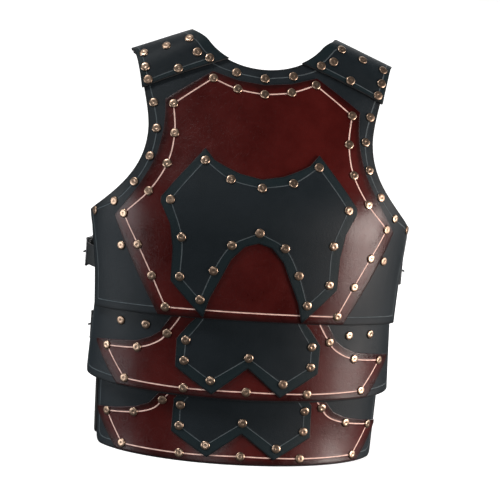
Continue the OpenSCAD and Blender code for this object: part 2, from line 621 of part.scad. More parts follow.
// Billet: from inside the front plate, out through the gap, under the front bar and over the chape
module billet(s, start, edge, rise) {
    form = strap_form(s, edge);
    hidden = strap_lift - 0.8;
    bend_in = from_heel(s, -window_l - 10);
    lifts = [[start, strap_lift], [edge - 12, strap_lift], [edge - 6, hidden], [edge + 1, hidden],
        [bend_in, strap_low],
        [from_heel(s, -window_l + 3.5), strap_low], [from_heel(s, -1.5), heel_lift],
        [from_heel(s, 1.5), heel_lift], [from_heel(s, 12), tail_lift], [from_heel(s, 99), tail_lift]];
    far = [for (t = [start:4:edge - 1]) t];
    near = [for (mm = [floor((edge - s[3]) * step_mm(s)):3:tail_l - 6]) from_heel(s, mm)];
    stations = concat(far, near);
    level = function (t) s[4] + lookup(t, [[start, rise], [edge - 22, rise], [edge - 4, 0], [180, 0]]);
    edges = function (k) concat(
        [for (t = stations) [t, level(t) + k * strap_w / 2, lookup(t, lifts)]],
        [[from_heel(s, tail_l), s[4] + k * 3, tail_lift]]);
    color(black) difference() {
        sheet(form, [edges(-1), edges(1)], 0, strap_t);
        prong_shape(prong_line(s), prong_d / 2 + 0.5);
    }
}

// Ends of the prong's shank, over the heel bar and past the front bar
function prong_line(s) = let (
        a = side_point(s, 0, bar_lift + wire_r + prong_gap + 0.6),
        b = side_point(s, -window_l, bar_lift + wire_r + prong_d / 2 + 0.15))
    [a, b + 2.4 * (b - a) / norm(b - a)];
module prong_shape(ends, r) {
    l = norm(ends[1] - ends[0]);
    oriented(ends[0], ends[1] - ends[0]) rotate_extrude($fn = 24)
        polygon([[0, 0], [r, 0], [r, l], [0.7 * r, l + 0.7 * r], [0, l + r]]);
}
module prong(s) {
    ring_r = wire_r + prong_gap + 1.4;
    bar = side_point(s, 0, bar_lift);
    color(steel) difference() {
        union() {
            translate(bar - [0, 0, 2.5]) cylinder(h = 5, r = ring_r, $fn = 32);
            prong_shape(prong_line(s), prong_d / 2);
        }
        translate(bar - [0, 0, 4]) cylinder(h = 8, r = wire_r + prong_gap, $fn = 32);
    }
}

// Buckle frame: two upright bars and two cross bars that meet in ball corners
module buckle(s) {
    heel = side_point(s, 0, bar_lift);
    nose = side_point(s, -window_l, bar_lift);
    color(steel) for (p = [heel, nose]) {
        translate(p - [0, 0, window_h / 2]) cylinder(h = window_h, r = wire_r, $fn = 24);
        for (k = [-1, 1]) translate(p + [0, 0, k * window_h / 2]) sphere(r = 1.25 * wire_r, $fn = 24);
    }
    color(steel) for (k = [-1, 1]) oriented(heel + [0, 0, k * window_h / 2], nose - heel)
        cylinder(h = norm(nose - heel), r = wire_r, $fn = 24);
}

// Chape: a strip folded round the heel bar, drawn in plan and cut out for the prong
chape_l = 58;
chape_rivet_mm = [34, 48];
module chape(s) {
    mid = chape_t / 2;
    low = stand_off + mid;
    high = upper_layer + mid;
    close = low + chape_t + layer_gap;
    spot = function (mm, lift) let (p = side_point(s, mm, lift)) [p[0], p[1]];
    path = concat(
        [for (mm = [chape_l:-6:10]) spot(mm, low)],
        [for (a = [-90:-22.5:-270]) spot((wrap_r - mid) * cos(a), bar_lift + (wrap_r - mid) * sin(a))],
        [spot(10, high), spot(16, high), spot(22, high), spot(28, close)],
        [for (mm = [34:6:chape_l]) spot(mm, close)]);
    n = len(path);
    side_of = function (i) let (d = path[min(i + 1, n - 1)] - path[max(i - 1, 0)]) [-d[1], d[0]] / norm(d);
    band = concat(
        [for (i = [0:n - 1]) path[i] + mid * side_of(i)],
        [for (i = [n - 1:-1:0]) path[i] - mid * side_of(i)]);
    bar = side_point(s, 0, bar_lift);
    color(black) difference() {
        translate([0, 0, s[4] - strap_w / 2]) linear_extrude(strap_w) polygon(band);
        oriented(bar, side_way(s, 0)) cube([6.4, 2 * wrap_r + 1, 2 * wrap_r + 2], center = true);
    }
}

// Rivets that hold a chape to its plate
module chape_rivets(s) {
    color(copper) for (mm = chape_rivet_mm)
        oriented(side_point(s, mm, 0), side_way(s, mm))
            rivet_at(stand_off + 2 * chape_t + layer_gap, -base_t - 0.2);
}

// Keeper: a flat loop round the upper chape layer and the billet's tail
module keeper(s) {
    low = upper_layer - 0.4 - keeper_t;
    high = tail_lift + strap_t + 0.4 + keeper_t;
    inner_h = strap_w + 1.2;
    color(black) oriented(side_point(s, 16, (low + high) / 2), side_way(s, 16))
        difference() {
            cube([inner_h + 2 * keeper_t, keeper_w, high - low], center = true);
            cube([inner_h, keeper_w + 2, high - low - 2 * keeper_t], center = true);
        }
}

module shoulder_cap_right() shoulder_cap();
module shoulder_cap_left() mirror([1, 0, 0]) shoulder_cap();
module cap_rivets_front() color(copper) pair() for (q = cap_front_rivets) cap_rivet(q);
module cap_rivets_back() color(copper) pair() for (q = cap_back_rivets) cap_rivet(q);
module chest_strap_right() billet(chest_level, 41, 77, chest_strap_rise);
module chest_strap_left() mirror([1, 0, 0]) chest_strap_right();
module waist_strap_right() billet(waist_level, 37, 88, waist_strap_rise);
module waist_strap_left() mirror([1, 0, 0]) waist_strap_right();
module chest_chapes() pair() chape(chest_level);
module waist_chapes() pair() chape(waist_level);
module chest_buckles() pair() buckle(chest_level);
module waist_buckles() pair() buckle(waist_level);
module chest_prong_right() prong(chest_level);
module chest_prong_left() mirror([1, 0, 0]) prong(chest_level);
module waist_prong_right() prong(waist_level);
module waist_prong_left() mirror([1, 0, 0]) prong(waist_level);
module chest_keepers() pair() keeper(chest_level);
module waist_keepers() pair() keeper(waist_level);
module chest_chape_rivets() pair() chape_rivets(chest_level);
module waist_chape_rivets() pair() chape_rivets(waist_level);

breastplate();
breast_overlay();
breast_crest();
breast_rivets();
shoulder_cap_left();
shoulder_cap_right();
cap_rivets_front();
cap_rivets_back();
upper_lame();
upper_lame_overlay();
upper_lame_crest();
upper_lame_rivets();
lower_lame();
lower_lame_overlay();
lower_lame_crest();
lower_lame_rivets();
backplate();
back_overlay();
back_rivets();
back_upper_lame();
back_upper_overlay();
back_upper_rivets();
back_lower_lame();
back_lower_overlay();
back_lower_rivets();
front_upper_hangers();
front_lower_hangers();
back_upper_hangers();
back_lower_hangers();
chest_strap_left();
chest_strap_right();
waist_strap_left();
waist_strap_right();
chest_chapes();
waist_chapes();
chest_buckles();
waist_buckles();
chest_prong_left();
chest_prong_right();
waist_prong_left();
waist_prong_right();
chest_keepers();
waist_keepers();
chest_chape_rivets();
waist_chape_rivets();
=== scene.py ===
"""Looks of a leather cuirass with two lames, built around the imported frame.

Leather is laid out in pattern coordinates: the girth angle in degrees from the front
centre and the height in millimetres along the leather above the lower hem.
"""

import logging
import math
from collections.abc import Callable, Sequence
from dataclasses import dataclass, field, replace
from enum import Enum

import bmesh
import bpy
import numpy as np
from mathutils import Matrix, Vector


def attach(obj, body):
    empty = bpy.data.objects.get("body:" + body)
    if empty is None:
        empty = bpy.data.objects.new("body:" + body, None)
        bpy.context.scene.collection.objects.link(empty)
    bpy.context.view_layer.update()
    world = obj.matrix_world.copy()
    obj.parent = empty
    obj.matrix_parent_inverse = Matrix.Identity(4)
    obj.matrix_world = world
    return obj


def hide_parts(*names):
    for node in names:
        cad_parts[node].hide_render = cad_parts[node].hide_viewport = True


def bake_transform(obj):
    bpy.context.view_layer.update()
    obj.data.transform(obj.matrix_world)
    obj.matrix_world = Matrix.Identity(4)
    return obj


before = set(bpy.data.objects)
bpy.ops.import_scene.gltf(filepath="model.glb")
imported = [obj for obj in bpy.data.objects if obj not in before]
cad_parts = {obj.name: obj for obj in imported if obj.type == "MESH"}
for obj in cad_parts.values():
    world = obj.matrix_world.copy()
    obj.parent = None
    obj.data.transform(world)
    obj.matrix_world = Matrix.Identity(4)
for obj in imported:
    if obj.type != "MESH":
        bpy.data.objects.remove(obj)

log = logging.getLogger("cuirass")
Object, Material = bpy.types.Object, bpy.types.Material
Tree, Node, Socket = bpy.types.NodeTree, bpy.types.Node, bpy.types.NodeSocket
Array = np.ndarray
Placer = Callable[[Array, Array], Array]
Point = tuple[float, float]
Spans = Sequence[Sequence[Point]]
Shares = tuple[tuple[float, float, float], ...]
Skins = tuple[Material, Material, Material]

# Sizes are in mm unless a name says otherwise.
MM = 0.001
HALF_W = 215.0
SHOULDER_W = 172.0
NECK_W = 95.0
BASE_T = 3.5
OVERLAY_T = 2.5
LAYER_GAP = 0.4
CAP_T = 4.0
TAB_GAP = 4.0
MM_PER_DEGREE = 3.1
# Waves of the hand-shaped unevenness: per mm across, per mm up, and start.
DENT_WAVES = ((0.021, 0.013, 0.4), (-0.011, 0.027, 1.9), (0.034, -0.019, 3.1), (0.047, 0.031, 4.4),
              (-0.029, 0.052, 5.6))


class Body(Enum):
    """Bodies of the frame that pieces ride on."""

    FRONT = "front_plate"
    FRONT_UPPER = "front_upper"
    FRONT_LOWER = "front_lower"
    BACK = "back_plate"
    BACK_UPPER = "back_upper"
    BACK_LOWER = "back_lower"


class Slot(Enum):
    """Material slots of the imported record."""

    BLACK = "black_leather"
    OXBLOOD = "oxblood_leather"
    STRAP = "strap_leather"
    RIVETS = "rivets"
    STEEL = "buckle_steel"


# ---------------------------------------------------------------- forms and pattern lines


def mix(a: Array | float, b: Array | float, w: Array | float) -> Array | float:
    """Returns the value a share w of the way from a to b."""
    return a + (b - a) * w


def unit(v: Array) -> Array:
    """Returns vectors scaled to length 1."""
    return v / np.linalg.norm(v, axis=-1, keepdims=True)


class Form:
    """A curved surface that leather is laid on, in pattern coordinates."""

    behind = False
    wobble = 0.0

    def base(self, t: Array, v: Array) -> Array:
        """Returns the points of the bare surface, as if it were in front."""
        raise NotImplementedError

    def normals(self, t: Array, v: Array) -> Array:
        """Finds the outward directions of the bare surface, as if it were in front.

        Args:
            t: Girth angles in degrees.
            v: Heights in mm.

        Returns:
            Unit vectors, one row each.
        """
        step = 0.4
        along = self.base(t + step, v) - self.base(t - step, v)
        up = self.base(t, v + step) - self.base(t, v - step)
        return unit(np.cross(along, up))

    def dent(self, t: Array, v: Array) -> Array:
        """Returns the shallow hand-shaped unevenness that all layers share, in mm."""
        x = MM_PER_DEGREE * t
        return self.wobble * sum(np.sin(a * x + b * v + c) for a, b, c in DENT_WAVES)

    def lifted(self, t: Array, v: Array, lift: Array | float) -> Array:
        """Finds points above the surface.

        Args:
            t: Girth angles in degrees.
            v: Heights in mm.
            lift: Distances outwards in mm.

        Returns:
            Points in mm, one row each.
        """
        t, v = np.broadcast_arrays(np.asarray(t, float), np.asarray(v, float))
        shift = (np.asarray(lift) + self.dent(t, v))[..., None]
        points = self.base(t, v) + shift * self.normals(t, v)
        return points * (1, -1, 1) if self.behind else points

    def outward(self, t: Array, v: Array) -> Array:
        """Returns the outward directions on the side where the plate really is."""
        n = self.normals(np.asarray(t, float), np.asarray(v, float))
        return n * (1, -1, 1) if self.behind else n


@dataclass(frozen=True)
class TorsoForm(Form):
    """Breast or back: upright, bent over the chest, leaning in, then arched to the shoulder."""

    depth: float
    bend_z: float
    bend_r: float
    lean: float
    behind: bool = False
    wobble: float = 0.13
    half_w: float = HALF_W
    narrowing: float = 4.3
    chest_h: float = 307
    ridge_top: float = 592.5
    ridge_fall: float = 0.39

    def width(self, v: Array | float) -> Array | float:
        """Returns the half width at a height."""
        return self.half_w + self.narrowing * (np.minimum(v, self.chest_h) - self.chest_h) / 100

    def depth_at(self, v: Array | float) -> Array | float:
        """Returns the depth at a height below the bend."""
        return self.depth + 0 * v

    def ridge_z(self, t: Array) -> Array:
        """Returns the height of the shoulder line."""
        return self.ridge_top - self.ridge_fall * self.half_w * np.sin(np.radians(np.abs(t)))

    def parts(self, t: Array) -> tuple[float, float, float, Array, Array, Array]:
        """Works out the bend and the arch of the section.

        Args:
            t: Girth angles in degrees.

        Returns:
            Depth, height and length at the bend's end, and the arch's run, radius and start.
        """
        lean = math.radians(self.lean)
        d = self.depth - self.bend_r * (1 - math.cos(lean))
        z = self.bend_z + self.bend_r * math.sin(lean)
        v = self.bend_z + self.bend_r * lean
        length = (self.ridge_z(t) - z) / math.cos(lean)
        run = d - length * math.sin(lean)
        radius = run / math.tan((math.pi / 2 - lean) / 2)
        return d, z, v, run, radius, v + length - run

    def ridge_v(self, t: Array) -> Array:
        """Returns the height along the leather of the shoulder line."""
        *_, radius, arc_v = self.parts(t)
        return arc_v + radius * (math.pi / 2 - math.radians(self.lean))

    def v_at_depth(self, t: Array, d: Array) -> Array:
        """Finds where the section reaches a depth.

        Args:
            t: Girth angles in degrees.
            d: Depths in mm.

        Returns:
            Heights in mm along the leather.
        """
        lean = math.radians(self.lean)
        bend_d, _, bend_v, _, radius, arc_v = self.parts(t)
        on_arc = arc_v + (np.arccos(np.clip(d / radius, -1, 1)) - lean) * radius
        return np.where(d > radius * math.cos(lean), bend_v + (bend_d - d) / math.sin(lean), on_arc)

    def base(self, t: Array, v: Array) -> Array:
        """Finds points of the bare surface, as if it were in front.

        Args:
            t: Girth angles in degrees.
            v: Heights in mm.

        Returns:
            Points in mm, one row each.
        """
        lean = math.radians(self.lean)
        bend_d, bend_z, bend_v, _, radius, arc_v = self.parts(t)
        g = np.clip((v - self.bend_z) / self.bend_r, 0, lean)
        d = self.depth - self.bend_r * (1 - np.cos(g))
        z = np.minimum(v, self.bend_z) + self.bend_r * np.sin(g)
        k = np.clip(v - bend_v, 0, None)
        d, z = d - k * math.sin(lean), z + k * math.cos(lean)
        a = lean + (v - arc_v) / radius
        over = v > arc_v
        d = np.where(over, radius * np.cos(a), d)
        z = np.where(over, self.ridge_z(t) - radius * (1 - np.sin(a)), z)
        r = np.radians(t)
        return np.stack([self.width(v) * np.sin(r), -d * np.cos(r), z], -1)


@dataclass(frozen=True)
class LameForm(Form):
    """A lame: an oval hoop that widens a little and flares at its hem."""

    hem_w: float
    top_w: float
    hem_v: float
    top_v: float
    depth: float
    flare: float
    flare_v: float
    behind: bool = False
    wobble: float = 0.1

    def width(self, v: Array | float) -> Array | float:
        """Returns the half width at a height."""
        return self.hem_w + (self.top_w - self.hem_w) * (v - self.hem_v) / (self.top_v - self.hem_v)

    def depth_at(self, v: Array | float) -> Array | float:
        """Returns the depth at a height."""
        share = np.maximum(0, (self.flare_v - v) / (self.flare_v - self.hem_v))
        return self.depth + self.flare * share**2

    def base(self, t: Array, v: Array) -> Array:
        """Returns the points of the bare surface, as if it were in front."""
        r = np.radians(t)
        return np.stack([self.width(v) * np.sin(r), -self.depth_at(v) * np.cos(r), v + 0 * r], -1)


@dataclass(frozen=True)
class NeckPlan:
    """A neck opening: its reach, its squareness, and the angle on it where the cap starts."""

    reach: float
    squareness: float
    cap_start: float


BREAST = TorsoForm(depth=127, bend_z=307, bend_r=140, lean=25.8)
BACK = TorsoForm(depth=112, bend_z=330, bend_r=200, lean=17, behind=True)
UPPER = LameForm(hem_w=207, top_w=201, hem_v=89, top_v=212, depth=113.5, flare=5, flare_v=170)
LOWER = LameForm(hem_w=193, top_w=196, hem_v=0, top_v=114, depth=100, flare=12, flare_v=75)
BACK_UPPER = replace(UPPER, depth=101.5, flare=0, behind=True)
BACK_LOWER = replace(LOWER, depth=91, flare=0, behind=True)
FRONT_NECK = NeckPlan(41.5, 1.0, 31.0)
BACK_NECK = NeckPlan(72.5, 0.6, 45.0)
TAB_IN = math.degrees(math.asin(NECK_W / HALF_W))
TAB_OUT = math.degrees(math.asin(SHOULDER_W / HALF_W))


@dataclass(frozen=True)
class Chain:
    """A line of straight stretches through outline points: share, girth angle, height."""

    points: Shares

    def __call__(self, k: Array) -> Array:
        """Returns the pattern points at shares k."""
        p = np.array(self.points)
        return np.stack([np.interp(k, p[:, 0], p[:, i]) for i in (1, 2)], -1)


@dataclass(frozen=True)
class Sweep:
    """A Bezier curve between two outline points."""

    points: tuple[Point, Point, Point, Point]

    def __call__(self, k: Array) -> Array:
        """Finds points of the curve.

        Args:
            k: Shares along it, from 0 to 1.

        Returns:
            Pattern points, one row each.
        """
        k = np.asarray(k, float)[..., None]
        a, b, c, d = (np.array(p) for p in self.points)
        return (1 - k) ** 3 * a + 3 * k * (1 - k) ** 2 * b + 3 * k * k * (1 - k) * c + k**3 * d


def straight(*points: Point) -> Chain:
    """Returns a chain through points at even shares."""
    last = len(points) - 1
    return Chain(tuple((i / last, *p) for i, p in enumerate(points)))


def neck_point(form: TorsoForm, plan: NeckPlan, a: Array) -> Array:
    """Finds points of the neck opening.

    Args:
        form: The plate's form.
        plan: The opening.
        a: Angles round the opening in degrees, 0 at the middle and 90 at the shoulder.

    Returns:
        Pattern points.
    """
    r = np.radians(a)
    t = np.degrees(np.arcsin(NECK_W * np.sin(r) ** plan.squareness / form.half_w))
    reach = plan.reach * np.maximum(0, np.cos(r)) ** plan.squareness / np.cos(np.radians(t))
    v = np.minimum(form.v_at_depth(t, reach), form.ridge_v(t) - TAB_GAP / 2)
    return np.stack([t, v], -1)


def tab_end(form: TorsoForm, t: Array) -> Array:
    """Returns the pattern points of the shoulder tab's end."""
    t = np.asarray(t, float)
    return np.stack([t, form.ridge_v(t) - TAB_GAP / 2], -1)


@dataclass(frozen=True)
class TopLine:
    """Top outline of a breast or back plate: the neck opening, then the shoulder tab's end."""

    form: TorsoForm
    plan: NeckPlan

    def __call__(self, k: Array) -> Array:
        """Finds points of the outline.

        Args:
            k: Shares along it, from 0 to 1.

        Returns:
            Pattern points, one row each.
        """
        k = np.asarray(k, float)
        neck = neck_point(self.form, self.plan, 180 * np.minimum(k, 0.5))
        tab = tab_end(self.form, mix(TAB_IN, TAB_OUT, np.maximum(0, 2 * k - 1)))
        return np.where((k <= 0.5)[..., None], neck, tab)


@dataclass(frozen=True)
class HemLine:
    """Bottom outline: a level or bowed hem up to the start of its rounded corner."""

    end: float
    height: Callable[[Array], Array]

    def __call__(self, k: Array) -> Array:
        """Returns the pattern points at shares k."""
        t = self.end * np.asarray(k, float)
        return np.stack([t, self.height(t)], -1)


@dataclass(frozen=True)
class Panel:
    """A patch between a bottom and a top line, with a line for its side edge."""

    bottom: Callable[[Array], Array]
    top: Callable[[Array], Array]
    edge: Callable[[Array], Array]
    rows: int

    def place(self, c: Array, w: Array) -> Array:
        """Finds pattern points.

        Args:
            c: Shares across, from -1 to 1.
            w: Shares up, from 0 to 1.

        Returns:
            Pattern points, one row each.
        """
        k, wide = np.abs(c), w[:, None]
        corner = mix(self.bottom(np.ones_like(w)), self.top(np.ones_like(w)), wide)
        q = mix(self.bottom(k), self.top(k), wide) + k[:, None] * (self.edge(w) - corner)
        return q * np.stack([np.sign(c), np.ones_like(c)], -1)


@dataclass(frozen=True)
class Blank:
    """A cut piece of leather: panels stacked from the hem up, laid on a form."""

    form: Form
    panels: tuple[Panel, ...]

    @property
    def rows(self) -> int:
        """Rows of the whole blank."""
        return sum(p.rows for p in self.panels)

    def chart(self, c: Array, s: Array) -> Array:
        """Finds pattern points.

        Args:
            c: Shares across, from -1 to 1.
            s: Shares up, from 0 to 1.

        Returns:
            Pattern points, one row each.
        """
        row, first = s * self.rows, 0
        out = np.zeros((len(c), 2))
        for p in self.panels:
            here = (row >= first - 1e-6) & (row <= first + p.rows + 1e-6)
            out[here] = p.place(c[here], np.clip((row[here] - first) / p.rows, 0, 1))
            first += p.rows
        return out


def smooth_line(spans: Spans, gap: float = 5.0) -> Array:
    """Draws a tooled line through points, rounded inside each span and cornered between spans.

    Args:
        spans: Runs of points. Each goes on from the last point of the one before.
        gap: Greatest distance between the points returned, roughly in mm.

    Returns:
        Points of the line in pattern coordinates.
    """
    out: list[Array] = []
    before: Sequence[Point] = ()
    rough = 3  # mm for each degree
    for span in spans:
        p = np.array((*before[-1:], *span), float)
        before = span
        ends = np.vstack([2 * p[0] - p[1], p, 2 * p[-1] - p[-2]])
        for i in range(1, len(ends) - 2):
            a, b, c, d = ends[i - 1 : i + 3]
            steps = max(2, math.ceil(math.hypot(rough * (c[0] - b[0]), c[1] - b[1]) / gap))
            k = (np.arange(steps) / steps)[:, None]
            out.append(0.5 * (2 * b + (c - a) * k + (2 * a - 5 * b + 4 * c - d) * k**2
                              + (3 * b - a - 3 * c + d) * k**3))
    out.append(np.array(spans[-1][-1:], float))
    return np.vstack(out)


def both_sides(half: Array) -> Array:
    """Returns the closed line of a half that starts and ends at the middle, and its mirror image."""
    back = half[::-1] * (-1, 1)
    return np.vstack([half[:-1], back[:-1]])


def distance_to_line(points: Array, line: Array) -> Array:
    """Measures the distance of points from a closed line in space.

    Args:
        points: Points, one row each.
        line: Corners of the closed line, one row each.

    Returns:
        The distances.
    """
    best = np.full(len(points), 1e9)
    for a, b in zip(line, np.roll(line, -1, axis=0)):
        d = b - a
        k = np.clip((points - a) @ d / max(d @ d, 1e-9), 0, 1)[:, None]
        best = np.minimum(best, np.linalg.norm(points - a - k * d, axis=1))
    return best


def inside(chart: Array, line: Array) -> Array:
    """Tells which points of the pattern lie inside a closed line.

    Args:
        chart: The points.
        line: Corners of the line.

    Returns:
        1 inside and -1 outside, for each.
    """
    x, y = chart.T
    odd = np.zeros(len(chart), bool)
    for (x0, y0), (x1, y1) in zip(line, np.roll(line, -1, axis=0)):
        if y0 != y1:
            odd ^= ((y0 > y) != (y1 > y)) & (x < x0 + (x1 - x0) * (y - y0) / (y1 - y0))
    return np.where(odd, 1.0, -1.0)


def smoothed(values: Array, reach: int) -> Array:
    """Returns each value averaged with its neighbours up to a reach."""
    count = 2 * reach + 1
    return np.convolve(np.pad(values, reach, mode="edge"), np.ones(count) / count, "valid")


def run_along(path: Array) -> Array:
    """Returns how far along a path each of its points lies."""
    return np.concatenate([[0], np.cumsum(np.linalg.norm(np.diff(path, axis=0), axis=1))])


# ---------------------------------------------------------------- finishes

Colour = tuple[float, float, float]
# Colour sockets of a Mix node, by number.
MIX_A, MIX_B, MIX_RESULT = 6, 7, 2


@dataclass
class Graph:
    """Adds nodes to a tree and joins them."""

    tree: Tree

    def feed(self, node: Node, inputs: dict) -> None:
        """Sets inputs of a node.

        Args:
            node: The node.
            inputs: Values or output sockets, by name or number.
        """
        for key, value in inputs.items():
            if isinstance(value, Socket):
                self.tree.links.new(value, node.inputs[key])
            else:
                node.inputs[key].default_value = value

    def node(self, kind: str, inputs: dict | None = None, **settings: object) -> Node:
        """Adds a node.

        Args:
            kind: The node's type.
            inputs: Values or output sockets for its inputs, by name or number.
            settings: Its properties.

        Returns:
            The node.
        """
        made = self.tree.nodes.new(kind)
        for key, value in settings.items():
            setattr(made, key, value)
        self.feed(made, inputs or {})
        return made

    def math(self, operation: str, a: Socket | float, b: Socket | float = 0.0) -> Socket:
        """Returns the output of a Math node on two values."""
        return self.node("ShaderNodeMath", {0: a, 1: b}, operation=operation).outputs[0]

    def plus(self, a: Socket, b: Socket | float) -> Socket:
        """Returns the sum of two values."""
        return self.math("ADD", a, b)

    def minus(self, a: Socket | float, b: Socket | float) -> Socket:
        """Returns the difference of two values."""
        return self.math("SUBTRACT", a, b)

    def times(self, a: Socket, b: Socket | float) -> Socket:
        """Returns the product of two values."""
        return self.math("MULTIPLY", a, b)

    def clamp(self, value: Socket) -> Socket:
        """Returns a value held between 0 and 1."""
        return self.node("ShaderNodeClamp", {"Value": value}).outputs[0]

    def ramp(self, value: Socket, low: float, high: float, start: float = 0.0,
             end: float = 1.0) -> Socket:
        """Returns value eased from start at low to end at high."""
        inputs = {"Value": value, "From Min": low, "From Max": high, "To Min": start, "To Max": end}
        made = self.node("ShaderNodeMapRange", inputs, interpolation_type="SMOOTHSTEP")
        return made.outputs["Result"]

    def blend(self, factor: Socket, a: Socket | Colour, b: Socket | Colour) -> Socket:
        """Turns one colour into another.

        Args:
            factor: Share of b.
            a: The first colour.
            b: The second colour.

        Returns:
            The colour between them.
        """
        a, b = ((*c, 1) if isinstance(c, tuple) else c for c in (a, b))
        made = self.node("ShaderNodeMix", {0: factor, MIX_A: a, MIX_B: b}, data_type="RGBA")
        return made.outputs[MIX_RESULT]

    def noise(self, vector: Socket, scale: Socket | float, detail: float = 3.0,
              roughness: float = 0.55) -> Socket:
        """Returns a noise value over a vector."""
        inputs = {"Vector": vector, "Scale": scale, "Detail": detail, "Roughness": roughness}
        return self.node("ShaderNodeTexNoise", inputs).outputs[0]

    def attribute(self, name: str) -> Socket:
        """Returns a value that the mesh carries for each vertex."""
        return self.node("ShaderNodeAttribute", attribute_name=name).outputs["Fac"]

    def bump(self, height: Socket) -> Socket:
        """Returns the normal for a height in mm."""
        inputs = {"Strength": 1.0, "Distance": MM, "Height": height}
        return self.node("ShaderNodeBump", inputs).outputs[0]

    def group(self, tree: Tree, inputs: dict) -> dict[str, Socket]:
        """Returns the outputs of a node group placed with these inputs."""
        made = self.node("ShaderNodeGroup", inputs, node_tree=tree)
        return {s.name: s for s in made.outputs}


def new_group(name: str, inputs: dict[str, float],
              outputs: Sequence[str]) -> tuple[Graph, dict[str, Socket], Node]:
    """Starts a shader node group over a Vector input.

    Args:
        name: The group's name.
        inputs: Default values of its other inputs, by name.
        outputs: Names of its outputs, which are values.

    Returns:
        The graph, its inputs by name and its output node.
    """
    tree = bpy.data.node_groups.new(name, "ShaderNodeTree")
    tree.interface.new_socket("Vector", in_out="INPUT", socket_type="NodeSocketVector")
    for key, default in inputs.items():
        socket = tree.interface.new_socket(key, in_out="INPUT", socket_type="NodeSocketFloat")
        socket.default_value = default
    for key in outputs:
        tree.interface.new_socket(key, in_out="OUTPUT", socket_type="NodeSocketFloat")
    source = tree.nodes.new("NodeGroupInput")
    return Graph(tree), {s.name: s for s in source.outputs}, tree.nodes.new("NodeGroupOutput")


def grain_group() -> Tree:
    """Makes leather grain: pebbles and fine wrinkles.

    Returns:
        The node group, with Height in mm.
    """
    g, source, out = new_group("leather_grain", {"Pebble": 0.05, "Wrinkle": 0.05}, ("Height",))
    vector = source["Vector"]
    sway_scale, sway_m, pebble_scale, wrinkle_scale = 260.0, 0.0016, 820.0, 90.0
    sway = g.node("ShaderNodeTexNoise", {"Vector": vector, "Scale": sway_scale}).outputs["Color"]
    bent = g.node("ShaderNodeVectorMath", {0: sway, 1: (sway_m, sway_m, sway_m), 2: vector},
                  operation="MULTIPLY_ADD").outputs[0]
    cells = g.node("ShaderNodeTexVoronoi", {"Vector": bent, "Scale": pebble_scale},
                   feature="DISTANCE_TO_EDGE").outputs["Distance"]
    pebble = g.times(g.ramp(cells, 0.0, 0.22), source["Pebble"])
    ridge = g.math("ABSOLUTE", g.minus(g.noise(bent, wrinkle_scale, 5.0, 0.6), 0.5))
    wrinkle = g.times(g.ramp(ridge, 0.0, 0.05), source["Wrinkle"])
    g.feed(out, {"Height": g.plus(pebble, wrinkle)})
    return g.tree


def mottle_group() -> Tree:
    """Makes the uneven take-up of dye and rubbed wax.

    Returns:
        The node group, with Tone from 0 to 1.
    """
    g, source, out = new_group("dye_mottle", {"Scale": 16.0, "Contrast": 1.0}, ("Tone",))
    broad_share, finer, gain = 0.84, 9.0, 2.5
    broad = g.noise(source["Vector"], source["Scale"], 4.0, 0.6)
    small = g.noise(source["Vector"], g.times(source["Scale"], finer), 3.0)
    both = g.plus(g.times(broad, broad_share), g.times(small, 0.16))
    spread = g.times(g.minus(both, 0.5), source["Contrast"])
    g.feed(out, {"Tone": g.clamp(g.plus(g.times(spread, gain), 0.5))})
    return g.tree


def line_group() -> Tree:
    """Makes a tooled line from a distance, broken a little where the tool skipped.

    Returns:
        The node group, with Mask from 0 to 1 and Swell, the leather pushed up beside the line.
    """
    g, source, out = new_group("tooled_line", {"Distance": 10.0, "Half Width": 0.6, "Skips": 0.3},
                               ("Mask", "Swell"))
    share = g.math("DIVIDE", g.math("ABSOLUTE", source["Distance"]), source["Half Width"])
    missed = g.ramp(g.noise(source["Vector"], 140.0, 4.0), 0.35, 0.6, 1.0, 0.0)
    skips = g.times(missed, source["Skips"])
    g.feed(out, {
        "Mask": g.times(g.ramp(share, 0.7, 1.35, 1.0, 0.0), g.minus(1.0, skips)),
        "Swell": g.times(g.ramp(share, 1.0, 1.7), g.ramp(share, 1.7, 3.2, 1.0, 0.0)),
    })
    return g.tree


def border_group() -> Tree:
    """Makes the shade along a cut edge, wavering a little.

    Returns:
        The node group, with Mask 1 at the edge and 0 inside.
    """
    g, source, out = new_group("edge_shade", {"Edge": 20.0, "Reach": 6.0}, ("Mask",))
    sway = g.times(g.minus(g.noise(source["Vector"], 55.0), 0.5), source["Reach"])
    share = g.math("DIVIDE", g.plus(source["Edge"], sway), source["Reach"])
    g.feed(out, {"Mask": g.ramp(share, 0.1, 1.0, 1.0, 0.0)})
    return g.tree


GRAIN, MOTTLE, LINE, BORDER = grain_group(), mottle_group(), line_group(), border_group()


def start_material(name: str) -> tuple[Material, Graph, Node, Socket]:
    """Starts a material.

    Args:
        name: Its name.

    Returns:
        The material, its graph, its Principled node and its object coordinates.
    """
    made = bpy.data.materials.new(name)
    made.use_nodes = True
    g = Graph(made.node_tree)
    return made, g, g.tree.nodes["Principled BSDF"], g.node("ShaderNodeTexCoord").outputs["Object"]


def mottle_tone(finish: "LeatherFinish | FleshFinish | MetalFinish", g: Graph,
                place: Socket) -> Socket:
    """Returns the mottle of a finish over object coordinates."""
    return g.group(MOTTLE, {"Vector": place, "Scale": finish.mottle_scale,
                            "Contrast": finish.contrast})["Tone"]


